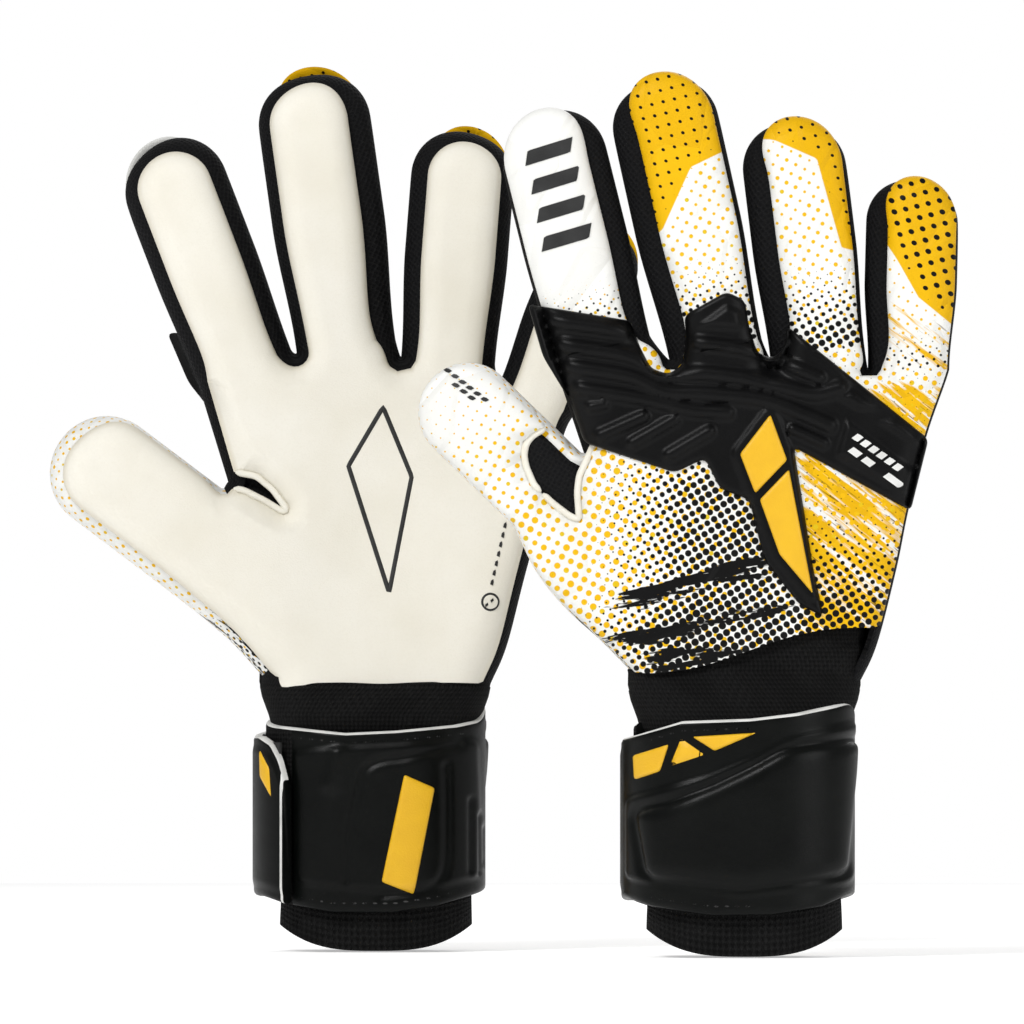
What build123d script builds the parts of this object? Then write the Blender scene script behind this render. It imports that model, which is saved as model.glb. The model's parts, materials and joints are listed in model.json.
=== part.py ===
from build123d import *
import os
from math import cos, radians, sin

# A pair of goalkeeper gloves standing on their cuffs, fingers up. The left glove shows its palm to
# the front (-Y) and stands at the back; the right glove shows its back and stands in front of it.
#
# Each glove is modelled in its own frame: X to the side with the thumb at -X, Z up from the floor,
# and Y from the palm (negative) to the back of the hand (positive), with the wrist's centre at
# X = Y = 0. The left glove keeps that sense, and the right one is mirrored in Y. Millimetres.

# Pair
PAIR_DEPTH = 112.0          # between the two wrists, so that flexed fingers clear the other glove
LEFT_WRIST_X = -42.18
RIGHT_WRIST_X = 79.32

# Sheet goods, and the levels in Y where the layers of the hand and fingers meet
LATEX = 3.0
FOAM = 3.0
BACK_FOAM = 4.0
MESH_WALL = 2.4
PALM_FACE = -16.5
PALM_SEAM = PALM_FACE + LATEX
FOAM_INNER = PALM_SEAM + FOAM
BACK_SEAM = 9.5
BACK_FACE = BACK_SEAM + BACK_FOAM
PAD = 3.5
INLAY = 0.8
HINGE_GAP = 0.4             # between a finger and the hand at rest
PAD_GAP = 0.6               # between a finger's back and the punch pad that lies over its root
LATEX_INSET = 1.2           # the latex stops short of the mesh wall's outer face

# Wrist: every layer follows a slot shape, two flats joined by round ends
WRIST_HALF_FLAT = 10.0
CUFF_INNER = 20.0
CUFF_OUTER = 22.0
CUFF_TOP = 76.0
PALM_FOOT = 92.0            # where the palm and the back are sewn to the collar
COLLAR_OUTER = 24.0
COLLAR_TOP_HALF_FLAT = 23.0
COLLAR_TOP_OUTER = 16.8
COLLAR_WALL = 3.2
STRAP_FOOT = 15.0
STRAP_TOP = 75.0
STRAP_INNER = 22.4
STRAP = 4.0
STRAP_OUTER = STRAP_INNER + STRAP
PATCH = 1.0
PATCH_GAP = 0.6

# The tab is the free end of the strap. Its arc leaves the back flush with the strap, and clears the
# strap's own start, with the two hook-and-loop patches between them, at the thumb side and the palm.
TAB_LIFT = 2 * PATCH + PATCH_GAP
TAB_INNER = (STRAP_INNER + STRAP_OUTER + TAB_LIFT) / 2
TAB_OUTER = TAB_INNER + STRAP
TAB_CENTRE = (TAB_INNER - WRIST_HALF_FLAT - STRAP_OUTER - TAB_LIFT, STRAP_INNER - TAB_INNER)
# Angles in the X-Y plane from +X, turning towards +Y, the back of the hand
WRAP_HINGE_ANGLE = 45.0
TAB_HINGE_ANGLE = 97.0
TAB_END_ANGLE = 228.0
STRAP_START_ANGLE = 165.0

# Fingers: hinge X and Z, lean from vertical towards +X, length to the tip, half width at the root
# and at its widest
FINGER_SIZES = {
    "index": (81.0, 16.4, 17.5),
    "middle": (93.0, 15.8, 17.9),
    "ring": (78.0, 15.6, 17.1),
    "little": (63.5, 13.4, 15.2),
    "thumb": (52.5, 17.6, 15.8),
}
FINGER_PLACES = {
    "left": {
        "index": (-43.5, 193.4, -21.0),
        "middle": (-9.9, 200.6, -8.0),
        "ring": (24.0, 195.5, 4.5),
        "little": (53.5, 183.0, 23.0),
        "thumb": (-62.5, 138.0, -53.0),
    },
    "right": {
        "index": (-47.0, 200.0, -14.0),
        "middle": (-9.5, 199.5, -12.5),
        "ring": (24.0, 198.5, -7.0),
        "little": (54.0, 193.0, 1.5),
        "thumb": (-65.0, 153.6, -46.0),
    },
}
FINGERS = ["index", "middle", "ring", "little"]
NECK_SHARE = 0.36           # of the length: the root's width runs to here
SHOULDER_SHARE = 0.60       # and the full width is reached here

# Outline of the hand below the fingers, as X, Z points
THUMB_EDGE = {
    "left": [(-35.5, PALM_FOOT), (-51.0, 105.0)],
    "right": [(-33.0, PALM_FOOT), (-46.0, 102.5), (-59.0, 114.5)],
}
LITTLE_EDGE = {
    "left": [(61.0, 165.0), (49.0, 121.0), (40.0, PALM_FOOT)],
    "right": [(59.5, 170.0), (54.0, 146.5), (50.0, 122.0), (40.0, PALM_FOOT)],
}
CROTCH_REACH = 3.0          # from the thumb's facet up to the index finger's side

# Punch pad. Its top runs over the finger roots, as (finger, across, along) from each hinge.
PAD_TOP = [
    ("index", -16.0, 13.0),
    ("index", 1.0, 5.0),
    ("index", 13.0, 2.0),
    ("index", 19.0, -8.0),
    ("middle", -10.0, 3.0),
    ("middle", 0.0, 14.0),
    ("middle", 9.0, 10.0),
    ("middle", 17.0, -7.0),
    ("ring", -10.0, 6.0),
    ("ring", 12.0, -6.0),
    ("little", 5.0, -22.0),
]
PAD_FOOT = [
    (53.0, 148.0),
    (20.0, 164.0),
    (26.0, 112.0),
    (18.0, 116.0),
    (7.0, 130.0),
    (1.0, 158.0),
    (-9.0, 156.0),
    (-12.0, 163.0),
    (-23.0, 157.0),
    (-46.0, 168.0),
]
EMBLEM_UPPER = [(8.5, 178.0), (14.0, 163.0), (3.5, 152.0), (-1.5, 165.0)]
EMBLEM_LOWER = [(14.6, 160.0), (22.5, 119.0), (11.5, 132.0), (5.0, 150.0)]
VENT = [(-70.0, 168.0), (-57.5, 163.0), (-52.0, 163.0), (-55.0, 152.5), (-54.5, 143.6), (-63.5, 149.5), (-71.5, 161.0)]
VENT_DROP = {"left": (4.0, -12.0), "right": (0.0, 0.0)}
VENT_THICK = 1.6
WEB_RADIUS = 2.6
WEB_DROP = 4.6

# Yellow shapes let into the strap, as X, Z points
STRAP_EMBLEM = [(9.0, 56.0), (17.5, 52.0), (12.0, 20.0), (3.0, 24.0)]
TAB_SHAPES = [
    [(-39.0, 64.5), (-27.5, 68.0), (-30.0, 57.5), (-39.0, 54.5)],
    [(-24.0, 68.5), (-18.5, 62.5), (-28.0, 59.0)],
]


def outline_face(points):
    """A flat face in sketch coordinates, X across and Y up."""
    return make_face(Polyline(*points, close=True))


def layer(face, low, high):
    """A sketch face stood up in X-Z and given the depth from low to high in Y."""
    return extrude(Plane.XZ.offset(-high) * face, high - low)


def across(place, c, s):
    """X, Z of a point c across and s along a finger from its hinge."""
    x, z, lean = place
    a = radians(lean)
    return (x + c * cos(a) + s * sin(a), z - c * sin(a) + s * cos(a))


def finger_face(size, place, inset=0.0, start=HINGE_GAP):
    """A finger seen from the front: straight root, fuller middle and a round tip."""
    length, root, full = size
    root, full = root - inset, full - inset
    tip = length - inset
    neck, shoulder = NECK_SHARE * length, SHOULDER_SHARE * length
    left = Polyline((-root, start), (-root, neck), (-full, shoulder), (-full, tip - full))
    cap = ThreePointArc((-full, tip - full), (0, tip), (full, tip - full))
    right = Polyline((full, tip - full), (full, shoulder), (root, neck), (root, start), (-root, start))
    x, z, lean = place
    return Pos(x, z) * Rot(0, 0, -lean) * make_face(left + cap + right)


def finger_parts(name, size, place):
    """Latex front, mesh wall that runs up one side, round the tip and down the other, and back panel."""
    whole = finger_face(size, place)
    bore = finger_face(size, place, inset=MESH_WALL, start=-HINGE_GAP)
    return {
        f"{name}_latex": layer(finger_face(size, place, LATEX_INSET), PALM_FACE, PALM_SEAM),
        f"{name}_gusset": layer(whole - bore, PALM_SEAM, BACK_SEAM),
        f"{name}_back": layer(whole, BACK_SEAM, BACK_FACE),
    }


def thumb_parts(size, place):
    """The thumb's latex rolls round its sides to meet the back panel, so it is one deep tray."""
    whole = finger_face(size, place)
    bore = finger_face(size, place, inset=LATEX, start=-HINGE_GAP)
    tray = layer(whole, PALM_FACE, BACK_SEAM) - layer(bore, PALM_SEAM, BACK_SEAM)
    return {"thumb_latex": tray, "thumb_back": layer(whole, BACK_SEAM, BACK_FACE)}


def facet(size, place, grow=0.0):
    """The two ends of the straight edge where a finger meets the hand."""
    root = size[1] + grow
    return across(place, -root, 0), across(place, root, 0)


def hand_outline(side):
    """The hand seen from the front, from the wrist round the thumb and the knuckles and back."""
    places = FINGER_PLACES[side]
    thumb_low, thumb_high = facet(FINGER_SIZES["thumb"], places["thumb"])
    points = [*THUMB_EDGE[side], thumb_low, thumb_high, (thumb_high[0] + CROTCH_REACH, thumb_high[1] + 1.0)]
    for name in FINGERS:
        points += facet(FINGER_SIZES[name], places[name])
    return points + LITTLE_EDGE[side]


def wall(points):
    """A strip of mesh MESH_WALL wide that stands on the inner side of a run of outline points."""
    strips = []
    for (x0, z0), (x1, z1) in zip(points, points[1:]):
        along = Vector(x1 - x0, z1 - z0).normalized() * MESH_WALL
        inward = Vector(along.Y, -along.X)
        start, end = Vector(x0, z0) - along, Vector(x1, z1) + along
        corners = [start, end, end + inward, start + inward]
        strips.append(outline_face([(corner.X, corner.Y) for corner in corners]))
    joined = strips[0]
    for strip in strips[1:]:
        joined += strip
    return joined


def hand_gussets(side):
    """Mesh down both edges of the hand and a small web pillar at the foot of each finger gap."""
    places = FINGER_PLACES[side]
    outline = hand_outline(side)
    body = outline_face(outline)
    little_high = facet(FINGER_SIZES["little"], places["little"])[1]
    thumb_low = facet(FINGER_SIZES["thumb"], places["thumb"])[0]
    index_low = facet(FINGER_SIZES["index"], places["index"])[0]
    edges = [
        [little_high, *LITTLE_EDGE[side]],
        [*THUMB_EDGE[side], thumb_low],
        [outline[len(THUMB_EDGE[side]) + 2], index_low],
    ]
    faces = [body & wall(run) for run in edges]
    for first, second in zip(FINGERS, FINGERS[1:]):
        a = facet(FINGER_SIZES[first], places[first])[1]
        b = facet(FINGER_SIZES[second], places[second])[0]
        middle = ((a[0] + b[0]) / 2, min(a[1], b[1]) - WEB_DROP)
        faces.append(Pos(*middle) * Circle(WEB_RADIUS))
    return Compound([layer(face, FOAM_INNER, BACK_SEAM).solid() for face in faces])


def pad_outline(side):
    """The punch pad, with the emblem's frame at its foot."""
    places = FINGER_PLACES[side]
    return [across(places[name], c, s) for name, c, s in PAD_TOP] + PAD_FOOT


def hand_parts(side):
    """The hand between the collar and the fingers, palm first."""
    body = outline_face(hand_outline(side))
    drop = VENT_DROP[side]
    vent = outline_face([(x + drop[0], z + drop[1]) for x, z in VENT]) & body
    inlays = [outline_face(EMBLEM_UPPER), outline_face(EMBLEM_LOWER)]
    pad_top = BACK_FACE + PAD
    pad = layer(outline_face(pad_outline(side)), BACK_FACE, pad_top)
    for name in FINGERS:
        root = finger_face(FINGER_SIZES[name], FINGER_PLACES[side][name], -PAD_GAP, 0.0)
        pad -= layer(root, BACK_FACE - 1, BACK_FACE + PAD_GAP)
    return {
        "palm_latex": layer(body, PALM_FACE, PALM_SEAM),
        "palm_foam": layer(body, PALM_SEAM, FOAM_INNER),
        "hand_gussets": hand_gussets(side),
        "backhand_panel": layer(body - vent, BACK_SEAM, BACK_FACE),
        "thumb_vent": layer(vent, BACK_SEAM, BACK_SEAM + VENT_THICK),
        "punch_pad": pad,
        "emblem_inlay": Compound([layer(face, pad_top, pad_top + INLAY).solid() for face in inlays]),
    }


def slot(half_flat, radius):
    """A flat face of the wrist's slot shape, long in X."""
    return SlotCenterToCenter(2 * half_flat, 2 * radius)


def cuff_parts():
    """The elastic sleeve that stands on the floor, and the collar that widens to the hand."""
    sleeve = extrude(slot(WRIST_HALF_FLAT, CUFF_OUTER) - slot(WRIST_HALF_FLAT, CUFF_INNER), CUFF_TOP)
    shift = ((PALM_FACE + BACK_FACE) / 2)

    def collar_skin(foot_radius, top_radius):
        foot = Pos(0, 0, CUFF_TOP) * slot(WRIST_HALF_FLAT, foot_radius)
        top = Pos(1.0, shift, PALM_FOOT) * slot(COLLAR_TOP_HALF_FLAT, top_radius)
        return loft([foot, top], ruled=True)

    outer = collar_skin(COLLAR_OUTER, COLLAR_TOP_OUTER)
    inner = collar_skin(CUFF_INNER, COLLAR_TOP_OUTER - COLLAR_WALL)
    return {"cuff_sleeve": sleeve, "cuff_collar": outer - inner}


def on_circle(centre, radius, angle):
    """X, Y of a point on a circle, its angle in degrees."""
    return (centre[0] + radius * cos(radians(angle)), centre[1] + radius * sin(radians(angle)))


def arc_band(centre, inner, outer, start, end):
    """A flat ring sector between two angles."""
    middle = (start + end) / 2
    outer_arc = ThreePointArc(*[on_circle(centre, outer, a) for a in (start, middle, end)])
    inner_arc = ThreePointArc(*[on_circle(centre, inner, a) for a in (end, middle, start)])
    far = Line(on_circle(centre, outer, end), on_circle(centre, inner, end))
    near = Line(on_circle(centre, inner, start), on_circle(centre, outer, start))
    return make_face(outer_arc + far + inner_arc + near)


def flat_band(x_low, x_high, y_low, y_high):
    """A flat rectangle between two X and two Y values."""
    return Pos((x_low + x_high) / 2, (y_low + y_high) / 2) * Rectangle(x_high - x_low, y_high - y_low)


def strap_parts():
    """The strap in three lengths: sewn base, wrap over the back and free tab, with what is on them."""
    thumb_end, little_end = (-WRIST_HALF_FLAT, 0.0), (WRIST_HALF_FLAT, 0.0)
    height = STRAP_TOP - STRAP_FOOT
    gap = 0.35              # degrees left open at the two fold lines
    base = (
        arc_band(thumb_end, STRAP_INNER, STRAP_OUTER, STRAP_START_ANGLE, 270)
        + flat_band(-WRIST_HALF_FLAT, WRIST_HALF_FLAT, -STRAP_OUTER, -STRAP_INNER)
        + arc_band(little_end, STRAP_INNER, STRAP_OUTER, -90, WRAP_HINGE_ANGLE - gap)
    )
    wrap = (
        arc_band(little_end, STRAP_INNER, STRAP_OUTER, WRAP_HINGE_ANGLE + gap, 90)
        + flat_band(TAB_CENTRE[0], WRIST_HALF_FLAT, STRAP_INNER, STRAP_OUTER)
        + arc_band(TAB_CENTRE, TAB_INNER, TAB_OUTER, 90, TAB_HINGE_ANGLE - gap)
    )
    tab = arc_band(TAB_CENTRE, TAB_INNER, TAB_OUTER, TAB_HINGE_ANGLE + gap, TAB_END_ANGLE)
    loop = arc_band(thumb_end, STRAP_OUTER, STRAP_OUTER + PATCH, 195, 262)
    hook = arc_band(TAB_CENTRE, TAB_INNER - PATCH, TAB_INNER, 195, TAB_END_ANGLE - 4)

    skin = extrude(Pos(0, 0, STRAP_FOOT) * arc_band(TAB_CENTRE, TAB_OUTER, TAB_OUTER + INLAY, 98, 178), height)
    shapes = [skin & layer(outline_face(points), 0, TAB_OUTER + 2) for points in TAB_SHAPES]
    palm_shell = arc_band(little_end, STRAP_OUTER, STRAP_OUTER + INLAY, -90, -60)
    palm_shell += flat_band(-WRIST_HALF_FLAT, WRIST_HALF_FLAT, -STRAP_OUTER - INLAY, -STRAP_OUTER)
    emblem_block = layer(outline_face(STRAP_EMBLEM), -STRAP_OUTER - 2, -STRAP_OUTER + STRAP)
    emblem = emblem_block & extrude(Pos(0, 0, STRAP_FOOT) * palm_shell, height)

    def stand(face, foot=STRAP_FOOT, tall=height):
        return extrude(Pos(0, 0, foot) * face, tall)

    patch_margin = 6.0
    patch_foot, patch_tall = STRAP_FOOT + patch_margin, height - 2 * patch_margin
    return {
        "strap_base": stand(base),
        "strap_wrap": stand(wrap),
        "strap_tab": stand(tab),
        "loop_patch": stand(loop, patch_foot, patch_tall),
        "hook_patch": stand(hook, patch_foot, patch_tall),
        "strap_emblem": emblem,
        "tab_inlays": Compound([shape.solid() for shape in shapes]),
    }


def glove(side):
    """Every piece of one glove, in the glove's own frame."""
    parts = {}
    for name in FINGERS:
        parts |= finger_parts(name, FINGER_SIZES[name], FINGER_PLACES[side][name])
    parts |= thumb_parts(FINGER_SIZES["thumb"], FINGER_PLACES[side]["thumb"])
    parts |= hand_parts(side)
    parts |= cuff_parts()
    parts |= strap_parts()
    return parts


def placed(side, shape):
    """A glove's piece in the pair's frame."""
    if side == "left":
        return Pos(LEFT_WRIST_X, PAIR_DEPTH / 2, 0) * shape
    return Pos(RIGHT_WRIST_X, -PAIR_DEPTH / 2, 0) * mirror(shape, about=Plane.XZ)


def main():
    os.makedirs("parts", exist_ok=True)
    for side in ("left", "right"):
        for name, shape in glove(side).items():
            export_step(placed(side, shape), f"parts/{side}_{name}.step")


if __name__ == "__main__":
    main()
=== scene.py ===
import json
import math

import bpy
import numpy as np
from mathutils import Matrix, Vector
from mathutils.geometry import delaunay_2d_cdt


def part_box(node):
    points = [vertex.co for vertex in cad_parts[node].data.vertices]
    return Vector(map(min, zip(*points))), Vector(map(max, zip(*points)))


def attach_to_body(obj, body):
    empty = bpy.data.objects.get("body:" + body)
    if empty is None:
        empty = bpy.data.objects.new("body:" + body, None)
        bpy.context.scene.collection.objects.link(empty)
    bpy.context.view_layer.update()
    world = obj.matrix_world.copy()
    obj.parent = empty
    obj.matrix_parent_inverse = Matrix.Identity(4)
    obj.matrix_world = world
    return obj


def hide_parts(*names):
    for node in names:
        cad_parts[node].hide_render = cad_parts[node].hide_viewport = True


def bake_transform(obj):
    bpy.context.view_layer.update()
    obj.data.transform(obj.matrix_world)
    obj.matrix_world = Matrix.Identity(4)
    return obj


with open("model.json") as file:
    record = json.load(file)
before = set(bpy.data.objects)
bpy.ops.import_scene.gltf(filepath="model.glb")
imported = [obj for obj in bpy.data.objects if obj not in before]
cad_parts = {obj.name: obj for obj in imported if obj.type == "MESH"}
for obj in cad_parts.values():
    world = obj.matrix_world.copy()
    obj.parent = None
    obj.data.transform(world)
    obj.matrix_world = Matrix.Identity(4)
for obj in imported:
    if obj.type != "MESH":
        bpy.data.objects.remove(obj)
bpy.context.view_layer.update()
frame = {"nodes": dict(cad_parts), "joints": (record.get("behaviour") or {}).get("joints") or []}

# Each glove is built in its own frame in millimetres, as the CAD has it: u to the side with the thumb
# at -u, v up from the floor, w from the palm (negative) to the back of the hand (positive).

MM = 0.001
NO_YELLOW = -5.0            # how far outside its yellow field a piece with none counts as
FINGERS = ["index", "middle", "ring", "little"]
DIGITS = FINGERS + ["thumb"]

# For the palm's side (0) and the back's (1): which way is out, and the levels in w of the panels' faces and
# of the seams where they meet the mesh
OUTWARD, FACE, SEAM = (-1, 1), (16.3, 13.4), (10.0, 8.0)
FOAM = 3.0
FOOT = 88.0
BEND_REACH = 26.0           # how far up a finger the span from its root runs; attach works it out but nothing uses it
CURL = 3.0                  # how far the straight fingers lean to the palm at their tips

# How far the latex and the back panel stop short of the silhouette: thumb side, tip, little side
FRONT_INSET = {
    "index": (4.8, 5.6, 5.4), "middle": (3.8, 5.4, 7.6), "ring": (5.6, 5.4, 4.2), "little": (4.6, 4.6, 4.0),
    "thumb": (4.4, 4.8, 0.6),
}
BACK_INSET = {
    "index": (1.0, 0.0, 6.8), "middle": (7.8, 0.0, 1.6), "ring": (8.2, 0.0, 1.4), "little": (7.2, 0.0, 0.8),
    "thumb": (0.6, 0.4, 1.6),
}
CAP_LEAN = {"index": 112, "middle": 92, "ring": 78, "little": 74, "thumb": 95}
TUCK = {"index": 2.6, "middle": 3.4, "ring": 2.8, "little": 2.4, "thumb": 0.4}
EDGE_INSET = {"thumb_edge": ((2.8, 4.4), (0.8, 0.6)), "little_edge": ((3.4, 2.6), (0.8, 0.8))}
CROTCH_INSET = ((0.6, 3.6), (1.6, 1.0))
WEB_FRONT_INSET, WEB_BACK_INSET = 4.4, 0.9
GIRTH = {"left": {"thumb": 1.07, "middle": 1.045}, "right": {"thumb": 0.93, "middle": 0.985}}

THUMB_EDGE = {
    "left": [(-35.0, FOOT), (-50.5, 104.5)],
    "right": [(-32.0, FOOT), (-46.0, 102.5), (-59.0, 114.5), (-68.5, 126.5)],
}
LITTLE_EDGE = {
    "left": [(61.5, 168.0), (50.0, 126.0), (43.5, 101.0), (38.0, FOOT)],
    "right": [(60.0, 171.0), (54.0, 146.5), (50.0, 127.0), (43.5, 102.0), (37.0, FOOT)],
}
CROTCH = {
    "left": [(-50.0, 153.8), (-48.5, 156.4), (-48.2, 162.0), (-49.8, 171.0), (-53.8, 180.0)],
    "right": [(-52.4, 166.0), (-51.4, 168.4), (-51.8, 172.4), (-55.4, 181.7), (-59.6, 189.8)],
}


# ---------------------------------------------------------------- plane geometry

def smooth(low, high, x):
    t = np.clip((np.asarray(x, float) - low) / (high - low), 0, 1)
    return t * t * (3 - 2 * t)


def dome(t):
    """A quarter circle from 0 at t = 0 to 1 at t = 1."""
    return np.sqrt(np.clip(1 - (1 - np.clip(t, 0, 1)) ** 2, 0, 1))


def lengths(line):
    """How far along a polyline each of its points is."""
    return np.concatenate([[0], np.cumsum(np.linalg.norm(np.diff(line, axis=0), axis=1))])


def unit(v):
    return v / np.maximum(np.linalg.norm(v, axis=-1, keepdims=True), 1e-9)


def raised(flat, level):
    """Points (u, w, v) over flat points (u, v), at a level in w."""
    return np.stack([flat[:, 0], level, flat[:, 1]], 1)


def distance(points, line, closed=False):
    """From each point to the nearest place on a polyline."""
    a = np.asarray(line, float)
    b = np.roll(a, -1, 0) if closed else a[1:]
    a = a if closed else a[:-1]
    best = np.full(len(points), 1e9)
    for start in range(0, len(points), 4000):
        p = points[start:start + 4000, None]
        d = b - a
        t = np.clip(((p - a) * d).sum(2) / np.maximum((d * d).sum(1), 1e-12), 0, 1)
        best[start:start + 4000] = np.linalg.norm(p - a - t[..., None] * d, axis=2).min(1)
    return best


def inside(points, loop):
    """Whether each point is within a closed loop."""
    a = np.asarray(loop, float)
    b = np.roll(a, -1, 0)
    x, y = points[:, 0:1], points[:, 1:2]
    spans = (a[:, 1] > y) != (b[:, 1] > y)
    rise = np.where(b[:, 1] == a[:, 1], 1e-12, b[:, 1] - a[:, 1])
    cross = x < (b[:, 0] - a[:, 0]) * (y - a[:, 1]) / rise + a[:, 0]
    return (spans & cross).sum(1) % 2 == 1


def signed(points, loop):
    """Distance to a closed loop, positive inside it."""
    return distance(points, loop, True) * np.where(inside(points, loop), 1, -1)


def resample(line, step, closed=False):
    line = np.asarray(line, float)
    if closed:
        line = np.vstack([line, line[:1]])
    along = lengths(line)
    n = max(2, round(along[-1] / step) + 1)
    at = np.linspace(0, along[-1], n)
    out = np.stack([np.interp(at, along, line[:, k]) for k in range(line.shape[1])], 1)
    return out[:-1] if closed else out


def rounded(points, radius, step=0.7):
    """A closed loop with its corners rounded."""
    points = np.asarray(points, float)
    out = []
    for p, before, after in zip(points, np.roll(points, 1, 0), np.roll(points, -1, 0)):
        a, b = [p + unit(q - p) * min(radius, 0.45 * np.linalg.norm(q - p)) for q in (before, after)]
        out += [(1 - t) ** 2 * a + 2 * t * (1 - t) * p + t * t * b for t in np.linspace(0, 1, 7)]
    return resample(np.array(out), step, True)


def curve(points, step=1.0):
    """A smooth open line through points."""
    p = np.asarray(points, float)
    p = np.vstack([2 * p[0] - p[1], p, 2 * p[-1] - p[-2]])
    out = []
    for a, b, c, d in zip(p, p[1:], p[2:], p[3:]):
        for t in np.linspace(0, 1, 16, endpoint=False):
            cubic = (3 * b - a - 3 * c + d) * t ** 3
            out.append(0.5 * (2 * b + (c - a) * t + (2 * a - 5 * b + 4 * c - d) * t ** 2 + cubic))
    out.append(p[-2])
    return resample(np.array(out), step)


# ---------------------------------------------------------------- the glove's frame

class Digit:
    """A finger or thumb: where it starts, its lean, and its half widths."""

    def __init__(self, glove, name):
        joint = next(j for j in frame["joints"] if j["name"] == f"{glove.side}_{name}_flex")
        self.name = name
        self.root = np.array([joint["pos_m"][0] - glove.x, joint["pos_m"][2]]) / MM
        cos, sin = glove.sign * joint["axis"][0], -glove.sign * joint["axis"][2]
        self.across, self.along = np.array([cos, -sin]), np.array([sin, cos])
        mesh = frame["nodes"][f"{glove.side}_{name}_back"].data
        flat = np.array([(v.co.x - glove.x, v.co.z) for v in mesh.vertices]) / MM
        cs = self.local(flat)
        self.length, self.full = cs[:, 1].max(), np.abs(cs[:, 0]).max()
        self.half = np.abs(cs[cs[:, 1] < 5, 0]).max() * GIRTH[glove.side].get(name, 1)
        self.full *= GIRTH[glove.side].get(name, 1)

    def local(self, points):
        d = np.asarray(points, float) - self.root
        return np.stack([d @ self.across, d @ self.along], -1)

    def place(self, cs):
        cs = np.asarray(cs, float)
        return self.root + cs[..., :1] * self.across + cs[..., 1:2] * self.along

    def width(self, s):
        """Half width of the finger at s along it, below the tip's round end."""
        return self.half + (self.full - self.half) * smooth(0.02 * self.length, 0.45 * self.length, s)

    def sides(self):
        """Across and along, up the thumb side, over the tip and down the other side."""
        top = self.length - self.full
        up = np.linspace(0, top, 40)
        turn = np.linspace(math.pi, 0, 34)[1:-1]
        left = np.stack([-self.width(up), up], 1)
        cap = np.stack([self.full * np.cos(turn), top + self.full * np.sin(turn)], 1)
        return np.vstack([left, cap, left[::-1] * (-1, 1)])


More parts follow.
